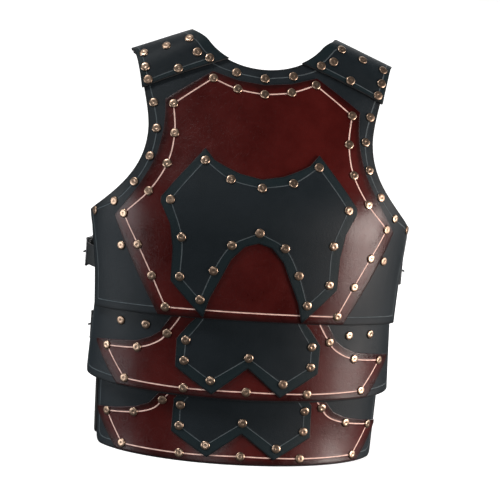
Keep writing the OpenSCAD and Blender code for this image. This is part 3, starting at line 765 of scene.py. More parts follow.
@dataclass(frozen=True)
class LeatherFinish:
    """The grain side of a piece of leather with tooled lines and shaded edges."""

    name: str
    deep: Colour
    light: Colour
    edge: Colour
    groove: Colour
    border: Colour | None = None
    border_share: float = 0.85
    groove_half: float = 0.6
    groove_depth: float = 0.35
    groove_swell: float = 0.08
    groove_matt: float = 0.2
    edge_reach: float = 5.0
    edge_share: float = 0.8
    contrast: float = 0.9
    mottle_scale: float = 16.0
    roughness: tuple[float, float] = (0.42, 0.56)
    pebble: float = 0.05
    wrinkle: float = 0.03
    skips: float = 0.35
    specular: float = 0.5
    coat: float = 0.0
    coat_roughness: float = 0.2

    def material(self) -> Material:
        """Makes the finish.

        Returns:
            The material.
        """
        made, g, shader, place = start_material(self.name)
        groove = g.attribute("groove_mm")
        tone = mottle_tone(self, g, place)
        line = g.group(LINE, {"Vector": place, "Distance": groove, "Half Width": self.groove_half,
                              "Skips": self.skips})
        rim = g.group(BORDER, {"Vector": place, "Edge": g.attribute("edge_mm"),
                               "Reach": self.edge_reach})["Mask"]
        grain = g.group(GRAIN, {"Vector": place, "Pebble": self.pebble,
                                "Wrinkle": self.wrinkle})["Height"]
        colour = g.blend(tone, self.deep, self.light)
        if self.border:
            outside = g.times(g.ramp(groove, -0.4, 0.4, 1.0, 0.0), self.border_share)
            colour = g.blend(outside, colour, self.border)
        colour = g.blend(g.times(rim, self.edge_share), colour, self.edge)
        rough = g.ramp(tone, 0.0, 1.0, *self.roughness)
        height = g.minus(grain, g.times(line["Mask"], self.groove_depth))
        g.feed(shader, {
            "Base Color": g.blend(line["Mask"], colour, self.groove),
            "Roughness": g.plus(rough, g.times(line["Mask"], self.groove_matt)),
            "Normal": g.bump(g.plus(height, g.times(line["Swell"], self.groove_swell))),
            "Specular IOR Level": self.specular,
            "Coat Weight": self.coat,
            "Coat Roughness": self.coat_roughness,
        })
        return made


@dataclass(frozen=True)
class FleshFinish:
    """The rough inside of the leather, or a cut edge."""

    name: str
    deep: Colour
    light: Colour
    fibre: float = 0.12
    roughness: tuple[float, float] = (0.82, 0.95)
    mottle_scale: float = 45.0
    contrast: float = 1.3
    fibre_scale: float = 1500.0

    def material(self) -> Material:
        """Makes the finish.

        Returns:
            The material.
        """
        made, g, shader, place = start_material(self.name)
        tone = mottle_tone(self, g, place)
        g.feed(shader, {
            "Base Color": g.blend(tone, self.deep, self.light),
            "Roughness": g.ramp(tone, 0.0, 1.0, *self.roughness),
            "Normal": g.bump(g.times(g.noise(place, self.fibre_scale, 4.0, 0.7), self.fibre)),
        })
        return made


@dataclass(frozen=True)
class MetalFinish:
    """Copper or steel with tarnish in its dimples, darker towards the foot of each head, and each
    piece a little different.
    """

    name: str
    bright: Colour
    dull: Colour
    roughness: tuple[float, float]
    per_piece: bool = False
    mottle: float = 0.55
    piece_mottle: float = 0.25
    piece_tint: float = 0.45
    piece_hollow: float = 0.6
    scuff: float = 0.02
    mottle_scale: float = 150.0
    contrast: float = 1.4
    scuff_scale: float = 700.0

    def material(self) -> Material:
        """Makes the finish.

        Returns:
            The material.
        """
        made, g, shader, place = start_material(self.name)
        tone = mottle_tone(self, g, place)
        if self.per_piece:
            tint = g.times(g.attribute("tint"), self.piece_tint)
            # The share of the dull colour: random tint per piece, tarnish in the dimple, darker
            # towards the foot, and mottle.
            dulling = g.plus(tint, g.times(g.attribute("hollow"), self.piece_hollow))
            dulling = g.plus(dulling, g.times(tone, self.piece_mottle))
        else:
            dulling = g.times(tone, self.mottle)
        share = g.clamp(dulling)
        g.feed(shader, {
            "Base Color": g.blend(share, self.bright, self.dull),
            "Roughness": g.ramp(share, 0.0, 1.0, *self.roughness),
            "Normal": g.bump(g.times(g.noise(place, self.scuff_scale, 4.0, 0.65), self.scuff)),
            "Metallic": 1.0,
        })
        return made


BLACK_PLATE = LeatherFinish(
    "black_plate_leather", (0.0068, 0.0104, 0.0132), (0.0118, 0.0168, 0.0210),
    (0.004, 0.0055, 0.0066), (0.075, 0.092, 0.10), groove_half=0.7, specular=0.18).material()
BLACK_TRIM = LeatherFinish(
    "black_trim_leather", (0.0060, 0.0096, 0.0122), (0.0097, 0.0144, 0.0183),
    (0.0035, 0.0055, 0.0068), (0.075, 0.092, 0.10), border=(0.007, 0.0145, 0.0175),
    edge_reach=3.0, specular=0.14).material()
OXBLOOD = LeatherFinish(
    "oxblood_panel_leather", (0.027, 0.0015, 0.0013), (0.068, 0.0040, 0.0028),
    (0.010, 0.0011, 0.0010), (0.85, 0.57, 0.49), groove_half=0.8, edge_reach=11.0, contrast=0.75,
    roughness=(0.24, 0.38), pebble=0.028, wrinkle=0.05, skips=0.25, specular=0.2, coat=0.1,
    coat_roughness=0.18).material()
STRAP_HIDE = LeatherFinish(
    "black_strap_leather", (0.010, 0.0125, 0.014), (0.017, 0.020, 0.022), (0.006, 0.007, 0.008),
    (0.03, 0.035, 0.04), edge_reach=2.5, roughness=(0.38, 0.5)).material()
FLESH = FleshFinish("flesh_side", (0.018, 0.017, 0.016), (0.045, 0.041, 0.037)).material()
CUT_BLACK = FleshFinish(
    "waxed_black_edge", (0.010, 0.010, 0.011), (0.026, 0.026, 0.027), 0.05, (0.47, 0.6)).material()
CUT_RED = FleshFinish(
    "waxed_oxblood_edge", (0.018, 0.004, 0.006), (0.06, 0.02, 0.028), 0.05, (0.42, 0.55)).material()
COPPER = MetalFinish(
    "copper_caps", (0.42, 0.30, 0.22), (0.18, 0.12, 0.085), (0.28, 0.48), True).material()
STEEL = MetalFinish(
    "blackened_steel", (0.10, 0.10, 0.105), (0.035, 0.034, 0.034), (0.3, 0.5)).material()


# ---------------------------------------------------------------- making pieces


def clear_selection() -> None:
    """Leaves nothing selected."""
    bpy.ops.object.select_all(action="DESELECT")


def pick(*objects: Object) -> None:
    """Selects these alone.

    Args:
        objects: What to select, the active one first.
    """
    clear_selection()
    for o in objects:
        o.select_set(True)
    bpy.context.view_layer.objects.active = objects[0]


def edit_faces(action: str) -> None:
    """Opens the active mesh for editing by faces.

    Args:
        action: SELECT for all of them, DESELECT for none.
    """
    bpy.ops.object.mode_set(mode="EDIT")
    bpy.ops.mesh.select_mode(type="FACE")
    bpy.ops.mesh.select_all(action=action)


def add_object(name: str, data: bpy.types.ID) -> Object:
    """Puts a new object in the scene.

    Args:
        name: Its name.
        data: Its mesh, lamp or camera.

    Returns:
        The object.
    """
    obj = bpy.data.objects.new(name, data)
    bpy.context.scene.collection.objects.link(obj)
    return obj


def vertex_places(obj: Object) -> Array:
    """Reads where the vertices are.

    Args:
        obj: A mesh object.

    Returns:
        Their places, one row each.
    """
    co = np.zeros(3 * len(obj.data.vertices))
    obj.data.vertices.foreach_get("co", co)
    return co.reshape(-1, 3)


def set_vertex_places(obj: Object, co: Array) -> None:
    """Moves the vertices of a mesh object."""
    obj.data.vertices.foreach_set("co", co.ravel())
    obj.data.update()


def set_values(obj: Object, name: str, values: Array) -> None:
    """Writes one value per vertex under a name that materials read."""
    layer = obj.data.attributes.new(name, "FLOAT", "POINT")
    layer.data.foreach_set("value", np.asarray(values, np.float32))


def apply_modifiers(obj: Object) -> None:
    """Applies every modifier.

    Args:
        obj: The object that carries them.
    """
    pick(obj)
    for m in list(obj.modifiers):
        bpy.ops.object.modifier_apply(modifier=m.name)


def side_name(side: int) -> str:
    """Returns the name of a side of the picture."""
    return "right" if side > 0 else "left"


def square_chart(x: Array, y: Array) -> Array:
    """Returns shares across and up as they are."""
    return np.stack([x, y], -1)


@dataclass
class Sheet:
    """One flat piece of leather, bent into place from a grid and given its thickness.

    The chart turns shares across (-1 to 1) and up (0 to 1) into pattern points, and lay puts
    pattern points in space, on the grain side.
    """

    name: str
    columns: int
    rows: int
    lay: Callable[[Array], Array]
    thickness: float
    skins: Skins
    chart: Placer = square_chart
    groove: Array | None = None
    rounding: float = 0.85
    side: int = 1
    closed: bool = False
    cut_out: Placer | None = None
    bevel_from: float = math.radians(48)
    crease: float = math.radians(50)
    no_groove: float = 50.0

    def outer(self, x: Array, y: Array) -> Array:
        """Returns the points of the grain side."""
        return self.lay(self.chart(x, y))

    def make(self) -> Object:
        """Makes the piece.

        Returns:
            The object, at the origin, in metres.
        """
        clear_selection()
        bpy.ops.mesh.primitive_grid_add(x_subdivisions=self.columns, y_subdivisions=self.rows, size=2)
        obj = bpy.context.object
        obj.name = obj.data.name = self.name
        flat = vertex_places(obj)
        x, y = flat[:, 0] * self.side, (flat[:, 1] + 1) / 2
        places = self.outer(x, y)
        set_values(obj, "edge_mm", distance_to_line(places, self.outline()))
        set_values(obj, "groove_mm", self.groove_distance(x, y, places))
        if self.cut_out is not None:
            self.remove_faces(obj, flat)
        set_vertex_places(obj, places * (self.side * MM, MM, MM))
        for skin in self.skins:
            obj.data.materials.append(skin)
        self.thicken(obj)
        return obj

    def outline(self) -> Array:
        """Finds the edge of the piece.

        Returns:
            A closed line in space.
        """
        a = np.linspace(-1, 1, 2 * self.columns + 1)
        b = np.linspace(0, 1, 2 * self.rows + 1)
        if self.closed:
            return np.vstack([self.outer(a, 0 * a), self.outer(a[::-1], 0 * a + 1)])
        x = np.concatenate([a[:-1], 0 * b[:-1] + 1, a[:0:-1], 0 * b[:0:-1] - 1])
        y = np.concatenate([0 * a[:-1], b[:-1], 0 * a[:0:-1] + 1, b[:0:-1]])
        return self.outer(x, y)

    def groove_distance(self, x: Array, y: Array, places: Array) -> Array:
        """Measures how far the vertices are from the tooled line.

        Args:
            x: Their shares across.
            y: Their shares up.
            places: Their places in space.

        Returns:
            Distances, positive inside the line.
        """
        if self.groove is None:
            return np.full(len(x), self.no_groove)
        far = distance_to_line(places, self.lay(self.groove)) * inside(self.chart(x, y), self.groove)
        return np.where(np.abs(far) < self.no_groove, far, self.no_groove)

    def remove_faces(self, obj: Object, flat: Array) -> None:
        """Cuts a hole where cut_out says so.

        Args:
            obj: The flat grid.
            flat: Its vertex positions.
        """
        pick(obj)
        centres = np.array([flat[list(f.vertices)].mean(axis=0) for f in obj.data.polygons])
        gone = self.cut_out(centres[:, 0] * self.side, (centres[:, 1] + 1) / 2)
        edit_faces("DESELECT")
        bpy.ops.object.mode_set(mode="OBJECT")
        for f, out in zip(obj.data.polygons, gone):
            f.select = bool(out)
        bpy.ops.object.mode_set(mode="EDIT")
        bpy.ops.mesh.delete(type="FACE")
        bpy.ops.object.mode_set(mode="OBJECT")

    def thicken(self, obj: Object) -> None:
        """Gives the piece its thickness and rounded, waxed edges.

        Args:
            obj: The bent sheet.
        """
        if self.closed:
            pick(obj)
            edit_faces("SELECT")
            bpy.ops.mesh.remove_doubles(threshold=1e-5)
            bpy.ops.object.mode_set(mode="OBJECT")
        solid = obj.modifiers.new("thickness", "SOLIDIFY")
        solid.thickness, solid.offset = self.thickness * MM, -1
        solid.material_offset, solid.material_offset_rim = 1, 2
        soft = obj.modifiers.new("soft_edge", "BEVEL")
        soft.width, soft.segments, soft.offset_type = self.rounding * MM, 3, "ABSOLUTE"
        soft.limit_method, soft.angle_limit = "ANGLE", self.bevel_from
        soft.use_clamp_overlap, soft.harden_normals = False, False
        apply_modifiers(obj)
        pick(obj)
        bpy.ops.object.shade_smooth_by_angle(angle=self.crease)


def finish_piece(obj: Object, body: Body, slot: Slot, *nodes: str) -> Object:
    """Puts a piece on its body in place of its CAD nodes.

    Args:
        obj: The finished piece.
        body: The body that it rides on.
        slot: The record's slot for its finish.
        nodes: CAD nodes that it stands for.

    Returns:
        The piece.
    """
    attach(obj, body.value)
    stand_for(obj, slot, *nodes)
    return obj


def stand_for(obj: Object, slot: Slot, *nodes: str) -> None:
    """Hides the CAD nodes that a piece stands for, and reports it.

    Args:
        obj: The piece.
        slot: Not used.
        nodes: CAD nodes that it stands for.
    """
    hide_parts(*nodes)
    log.info("%s: %d vertices, stands for %s", obj.name, len(obj.data.vertices), ", ".join(nodes))


def join(name: str, objects: list[Object]) -> Object:
    """Joins objects into one at the origin.

    Args:
        name: Its name.
        objects: What to join.

    Returns:
        The joined object.
    """
    pick(*objects)
    bpy.ops.object.join()
    bpy.ops.object.transform_apply(location=True, rotation=True, scale=True)
    obj = bpy.context.object
    obj.name = obj.data.name = name
    return obj


@dataclass(frozen=True)
class Layer:
    """A layer of leather on a form: how high its grain side lies, its thickness and finish."""

    lift: float
    thickness: float
    slot: Slot
    skins: Skins


TRIM_SKINS = (BLACK_TRIM, FLESH, CUT_BLACK)
STRAP_SKINS = (STRAP_HIDE, FLESH, CUT_BLACK)
LAYERS = (
    Layer(0.0, BASE_T, Slot.BLACK, (BLACK_PLATE, FLESH, CUT_BLACK)),
    Layer(LAYER_GAP + OVERLAY_T, OVERLAY_T, Slot.OXBLOOD, (OXBLOOD, FLESH, CUT_RED)),
    Layer(2 * (LAYER_GAP + OVERLAY_T), OVERLAY_T, Slot.BLACK, TRIM_SKINS),
)


def make_hide(node: str, blank: Blank, level: int, body: Body, spans: Spans,
              columns: int = 60) -> Object:
    """Makes a plate or panel and puts it on its body.

    Args:
        node: The CAD node that it stands for.
        blank: Its cut.
        level: Its layer, by number.
        body: The body that it rides on.
        spans: The right half of its tooled line.
        columns: Faces across its half.

    Returns:
        The piece.
    """
    form, layer = blank.form, LAYERS[level]
    flip = -1 if form.behind else 1

    def chart(x: Array, y: Array) -> Array:
        """Returns the pattern points."""
        return blank.chart(flip * x, y)

    def lay(points: Array) -> Array:
        """Returns pattern points laid on the form."""
        return form.lifted(*points.T, layer.lift)

    sheet = Sheet(f"{node}_hide", 2 * columns, blank.rows, lay, layer.thickness, layer.skins, chart,
                  both_sides(smooth_line(spans)))
    return finish_piece(sheet.make(), body, layer.slot, node)


def make_trim(node: str, form: Form, level: int, body: Body, low: Shares, top: Shares, spans: Spans,
              rows: int, columns: int) -> Object:
    """Makes an overlay or a crest between two outlines whose ends a straight edge joins.

    Args:
        node: The CAD node that it stands for.
        form: The form that it lies on.
        level: Its layer, by number.
        body: The body that it rides on.
        low: Its bottom outline.
        top: Its top outline.
        spans: The right half of its tooled line.
        rows: Faces up it.
        columns: Faces across its half.

    Returns:
        The piece.
    """
    side = straight(low[-1][1:], top[-1][1:])
    blank = Blank(form, (Panel(Chain(low), Chain(top), side, rows),))
    return make_hide(node, blank, level, body, spans, columns)


# ---------------------------------------------------------------- rivets

Rivet = tuple[float, ...]
Seat = tuple[Array, Array, float, float]
# How much deeper than its plate's inner face a washer sits where a strap lies inside.
IN_STRAP = 2.6
IN_HANGER = 3.2


@dataclass
class RivetMaker:
    """Domed rivets with a dimpled head outside and a burr on a washer inside."""

    head: tuple[Point, ...] = (
        (5.75, 0.0), (6.0, 0.22), (6.0, 0.7), (5.9, 1.1), (5.6, 1.48), (5.1, 1.78), (4.4, 1.98),
        (3.5, 2.1), (2.6, 2.15), (1.9, 2.12), (1.4, 2.0), (0.9, 1.9), (0.45, 1.86))
    burr: tuple[Point, ...] = (
        (4.2, 0.0), (4.5, 0.15), (4.5, 0.65), (4.3, 0.8), (2.6, 0.8), (2.3, 1.3), (1.6, 1.65),
        (0.7, 1.75))
    sides: int = 28
    seed: int = 11
    disc: float = 0.1
    dimple_r: float = 1.9
    foot_h: float = 0.5
    foot_darkening: float = 0.8
    head_gap: float = 0.05
    washer_gap: float = 0.15
    lean: float = 0.02
    crease: float = math.radians(60)
    masters: dict[str, Object] = field(default_factory=dict)

    def lathe(self, name: str, rings: tuple[Point, ...]) -> Object:
        """Turns a round part by extruding and scaling a disc ring by ring.

        Args:
            name: The part's name.
            rings: Radius and height of each ring in mm, from the seat to the middle of the top.

        Returns:
            The part, seated at the origin and pointing along +Z.
        """
        clear_selection()
        r0, first = rings[0][0] * MM, self.disc * MM
        bpy.ops.mesh.primitive_cylinder_add(vertices=self.sides, radius=r0, depth=first,
                                            location=(0, 0, -first / 2))
        obj = bpy.context.object
        obj.name = name
        bpy.ops.object.transform_apply(location=True, rotation=False, scale=False)
        edit_faces("DESELECT")
        mesh = bmesh.from_edit_mesh(obj.data)
        mesh.faces.ensure_lookup_table()
        max(mesh.faces, key=lambda f: f.calc_center_median().z).select = True
        bmesh.update_edit_mesh(obj.data)
        for (ra, za), (rb, zb) in zip(rings, rings[1:]):
            bpy.ops.mesh.extrude_region_move(
                TRANSFORM_OT_translate={"value": (0, 0, (zb - za) * MM)})
            bpy.ops.transform.resize(value=(rb / ra, rb / ra, 1), center_override=(0, 0, 0))
        bpy.ops.mesh.merge(type="CENTER")
        bpy.ops.object.mode_set(mode="OBJECT")
        bpy.ops.object.shade_smooth_by_angle(angle=self.crease)
        obj.data.materials.append(COPPER)
        return obj

    def start(self) -> None:
        """Makes the two masters, each with its dimple marked for tarnish and its foot marked darker.
        """
        for name, rings in (("rivet_head_master", self.head), ("rivet_burr_master", self.burr)):
            obj = self.lathe(name, rings)
            co = vertex_places(obj) / MM
            dimple = np.clip(1 - np.hypot(co[:, 0], co[:, 1]) / self.dimple_r, 0, 1)
            # The metal is made darker towards the foot, where the head meets the leather.
            foot = np.clip(1 - co[:, 2] / self.foot_h, 0, 1) * self.foot_darkening
            set_values(obj, "hollow", np.clip(dimple + foot, 0, 1))
            self.masters[name] = obj

    def copy(self, master: str, seat: Array, way: Array, tint: float, turn: float) -> Object:
        """Copies a master to a seat.

        Args:
            master: Name of the master.
            seat: Its place in mm.
            way: The direction that it points.
            tint: How dull its metal is, from 0 to 1.
            turn: Its turn about its own axis in radians.

        Returns:
            The copy.
        """
        obj = add_object(master, self.masters[master].data.copy())
        turned = Vector(way).to_track_quat("Z", "Y").to_matrix() @ Matrix.Rotation(turn, 3, "Z")
        obj.matrix_world = Matrix.Translation(Vector(seat) * MM) @ turned.to_4x4()
        set_values(obj, "tint", np.full(len(obj.data.vertices), tint))
        return obj

    def group(self, name: str, node: str, body: Body, seats: Sequence[Seat]) -> Object:
        """Makes the rivets of one CAD node.

        Args:
            name: The piece's name.
            node: The CAD node that it stands for.
            body: The body that it rides on.
            seats: A point of the plate's outer face, the outward direction, and the levels of
                the head's seat and of the leather's inner face, for each rivet.

        Returns:
            The piece.
        """
        rng = np.random.default_rng(self.seed + len(name))
        made = []
        for point, way, top, bottom in seats:
            tint, turn, lean = rng.random(), rng.random() * math.tau, rng.normal(0, self.lean, 3)
            way = unit(np.asarray(way))
            head, under = point + (top + self.head_gap) * way, point + (bottom - self.washer_gap) * way
            made.append(self.copy("rivet_head_master", head, way + lean, tint, turn))
            made.append(self.copy("rivet_burr_master", under, -way, tint, turn))
        return finish_piece(join(name, made), body, Slot.RIVETS, node)

    def done(self) -> None:
        """Removes the masters."""
        for obj in self.masters.values():
            bpy.data.objects.remove(obj)


def rivet_seats(form: Form, sides: Sequence[Rivet], middles: Sequence[Rivet]) -> list[Seat]:
    """Finds where rivets sit on a form.

    Args:
        form: The plate's form.
        sides: Rivets of the right half as girth angle, height, layer and extra depth inside.
        middles: Rivets on the middle line.

    Returns:
        Point, direction, and levels of head and leather inside, for each.
    """
    every = [(s * r[0], *r[1:]) for r in sides for s in (1, -1)] + list(middles)
    out = []
    for t, v, layer, *inner in every:
        point, way = form.lifted(t, v, 0.0), form.outward(t, v)
        out.append((point, way, LAYERS[int(layer)].lift, -BASE_T - (inner[0] if inner else 0)))
    return out


def mirrored_seats(foot: Array, way: Array, top: float, bottom: float) -> list[Seat]:
    """Returns a seat on the right and its mirror image on the left."""
    return [(foot * (k, 1, 1), way * (k, 1, 1), top, bottom) for k in (1, -1)]


# ---------------------------------------------------------------- breast and back


def breast_hem(t: Array | float) -> Array | float:
    """Returns the height of the breastplate's bowed hem."""
    return 188 + 9 * np.cos(np.radians(1.2 * t))


def back_hem(t: Array | float) -> Array | float:
    """Returns the height of the backplate's level hem."""
    return 190.0 + 0 * t


@dataclass
class TorsoPlate:
    """A breast or back plate, its oxblood overlay, in front its horned crest, and their rivets.

    The corner is where the side meets the armhole, and the pinch where the armhole is nearest the
    middle. The arm tables hold the guide points of the curves below and above the pinch. The
    overlay's foot is its lower corner's girth angle and its rise above the hem.
    """

    rivets: RivetMaker
    name: str
    form: TorsoForm
    body: Body
    neck: NeckPlan
    hem: Callable[[Array | float], Array | float]
    side: tuple[Point, ...]
    corner: Point
    pinch: Point
    low_arm: tuple[Point, Point]
    high_arm: tuple[Point, Point]
    line: Spans
    overlay_foot: Point
    overlay_corner: Point
    overlay_shoulder: Point
    overlay_arm: tuple[Point, Point]
    overlay_top: Shares
    overlay_line: Spans
    overlay_rows: tuple[int, int]
    side_rivets: tuple[Rivet, ...]
    middle_rivets: tuple[Rivet, ...]
    crest_low: Shares = ()
    crest_top: Shares = ()
    crest_line: Spans = ()
    rows: int = 40

    def plate(self) -> None:
        """Makes the black plate."""
        shares, angles = np.array(self.side).T
        hem_v = float(self.hem(angles[0]))

        def side(w: Array) -> Array:
            """Returns the side edge below the armhole."""
            return np.stack([np.interp(w, shares, angles), mix(hem_v, self.corner[1], w)], -1)

        waist, chest = (straight((0, p[1]), p) for p in (self.corner, self.pinch))
        low_arm = Sweep((self.corner, *self.low_arm, self.pinch))
        high_arm = Sweep((self.pinch, *self.high_arm, tuple(tab_end(self.form, TAB_OUT))))
        blank = Blank(self.form, (
            Panel(HemLine(angles[0], self.hem), waist, side, self.rows),
            Panel(waist, chest, low_arm, self.rows),
            Panel(chest, TopLine(self.form, self.neck), high_arm, self.rows),
        ))
        make_hide(f"{self.name}plate", blank, 0, self.body, self.line)

    def overlay(self) -> None:
        """Makes the oxblood panel."""
        angle, rise = self.overlay_foot
        low = HemLine(angle, lambda t: self.hem(t) + rise)
        middle = straight((0, self.overlay_corner[1]), self.overlay_corner)
        top = Chain((*self.overlay_top, (1, *self.overlay_shoulder)))
        side = straight((angle, float(self.hem(angle)) + rise), self.overlay_corner)
        arm = Sweep((self.overlay_corner, *self.overlay_arm, self.overlay_shoulder))
        low_rows, high_rows = self.overlay_rows
        blank = Blank(self.form, (Panel(low, middle, side, low_rows),
                                  Panel(middle, top, arm, high_rows)))
        make_hide(f"{self.name}_overlay", blank, 1, self.body, self.overlay_line, 40)

    def build(self) -> None:
        """Makes all the pieces."""
        self.plate()
        self.overlay()
        if self.crest_low:
            make_trim(f"{self.name}_crest", self.form, 2, self.body, self.crest_low, self.crest_top,
                      self.crest_line, self.rows, 40)
        self.rivets.group(f"{self.name}_rivet_caps", f"{self.name}_rivets", self.body,
                          rivet_seats(self.form, self.side_rivets, self.middle_rivets))


def breast_plate(rivets: RivetMaker) -> TorsoPlate:
    """Sizes the breastplate and its layers.

    Args:
        rivets: Maker of its rivets.

    Returns:
        The plate.
    """
    return TorsoPlate(
        rivets, "breast", BREAST, Body.FRONT, FRONT_NECK, breast_hem,
        side=((0, 75), (0.4, 75.4), (0.65, 77.5), (0.85, 80.5), (1, 86)),
        corner=(86, 314),
        pinch=(43.5, 443),
        low_arm=((62, 332), (43.4, 375)),
        high_arm=((43.6, 475), (49.5, 525)),
        line=([(a, float(breast_hem(a)) + 11) for a in np.linspace(0, 70.5, 13)],
              ((70.9, 240), (73.2, 270), (76.3, 295), (79.2, 308.5)),
              ((76, 315.5), (59.5, 334.2), (48.7, 364.2), (41.9, 402.3), (39.6, 441.4), (41.5, 476.7),
               (45, 515), (47, 560)),
              ((32, 572),), ((26, 556), (18, 537), (10, 527.4), (0, 521.4))),
        overlay_foot=(35, 1.5),
        overlay_corner=(58, 317),
        overlay_shoulder=(36.4, 482.3),
        overlay_arm=((47, 352), (34, 398)),
        overlay_top=((0, 0, 512), (0.25, 9.3, 516), (0.5, 18.5, 526.5)),
        overlay_line=(((0, 209), (16, 208.6), (31.9, 207.2)),
                      ((38.1, 245.9), (44.9, 283.5), (52.6, 320.9)),
                      ((41.3, 354), (34.2, 393.9), (31.8, 436.4), (32.8, 476.7)),
                      ((18.2, 516.3),), ((9.4, 503.5), (0, 498.3))),
        overlay_rows=(36, 56),
        side_rivets=(
            (41.5, 476.7, 0), (39.6, 441.4, 0), (41.9, 402.3, 0), (48.7, 364.2, 0), (59.5, 334.2, 0),
            (76, 315.5, 0), (10, 527.4, 0), (54, 278.2, 0, IN_STRAP),
            (18.2, 516.3, 1), (9.4, 503.5, 1), (32.8, 476.7, 1), (31.8, 436.4, 1), (34.2, 393.9, 1),
            (41.3, 354, 1), (52.6, 320.9, 1), (44.9, 283.5, 1, IN_STRAP), (38.1, 245.9, 1),
            (31.9, 207.2, 1), (19.8, 401.8, 2), (10.7, 378.4, 2), (31.9, 346.1, 2), (26.8, 300.7, 2),
            (26.7, 249.6, 2, IN_HANGER), (18.9, 222.2, 2), (14.8, 261.1, 2), (9.1, 295.9, 2)),
        middle_rivets=((0, 521.4, 0), (0, 498.3, 1), (0, 369.5, 2), (0, 313.7, 2)),
        crest_low=((0, 0, 300.5), (0.1, 4.6, 295), (0.2, 9, 277), (0.3, 12, 252.5), (0.4, 15.6, 224),
                   (0.5, 17.5, 198.5), (0.7, 30.2, 243), (0.8, 30, 285), (0.9, 31.4, 315),
                   (1, 35.8, 342)),
        crest_top=((0, 0, 381.5), (0.2, 7.5, 387.3), (0.3, 12.5, 395.5), (0.4, 16.6, 403.6),
                   (0.5, 19.9, 418.8), (1, 35.6, 349)),
        crest_line=(((0, 313.7), (9.1, 295.9), (14.8, 261.1), (18.9, 222.2)), ((26.7, 249.6),),
                    ((26.8, 300.7), (31.9, 346.1)), ((19.8, 401.8),), ((10.7, 378.4), (0, 369.5))),
    )


def back_plate(rivets: RivetMaker) -> TorsoPlate:
    """Sizes the backplate and its overlay.

    Args:
        rivets: Maker of its rivets.

    Returns:
        The plate.
    """
    return TorsoPlate(
        rivets, "back", BACK, Body.BACK, BACK_NECK, back_hem,
        side=((0, 67), (0.4, 67.5), (0.75, 69.2), (1, 73)),
        corner=(73, 306),
        pinch=(41, 446),
        low_arm=((49, 322), (37.5, 370)),
        high_arm=((42.5, 478), (48.5, 525)),
        line=(((0, 201), (30, 201), (62.5, 201)), ((63.2, 245), (64.5, 275), (66.5, 302)),
              ((49.8, 334), (42.4, 364), (38.2, 402), (37.4, 440), (39.6, 474), (43.5, 515),
               (46.5, 560)),
              ((32, 560),), ((28, 520), (20, 489), (10, 483), (0, 482))),
        overlay_foot=(34, 2.0),
        overlay_corner=(48, 318),
        overlay_shoulder=(33.5, 466),
        overlay_arm=((41, 350), (31, 398)),
        overlay_top=((0, 0, 470), (0.25, 9.3, 471.5), (0.5, 18.5, 491)),
        overlay_line=(((0, 204), (31.3, 206)), ((36, 245), (40.5, 285), (43.5, 323)),
                      ((37, 356), (31.8, 396), (29.8, 428), (30, 459)), ((18.2, 480),),
                      ((9.4, 461), (0, 459))),
        overlay_rows=(36, 44),
        side_rivets=(
            (39.6, 474, 0), (37.4, 440, 0), (38.2, 402, 0), (42.4, 364, 0), (49.8, 334, 0),
            (66.5, 302, 0), (10, 483, 0), (18.2, 480, 1), (9.4, 461, 1), (30, 459, 1), (29.8, 428, 1),
            (31.8, 396, 1), (37, 356, 1), (43.5, 323, 1), (40.5, 285, 1), (36, 245, 1),
            (31.3, 206, 1), (24, 249.6, 1, IN_HANGER)),
        middle_rivets=((0, 482, 0), (0, 459, 1)),
    )


# ---------------------------------------------------------------- lames


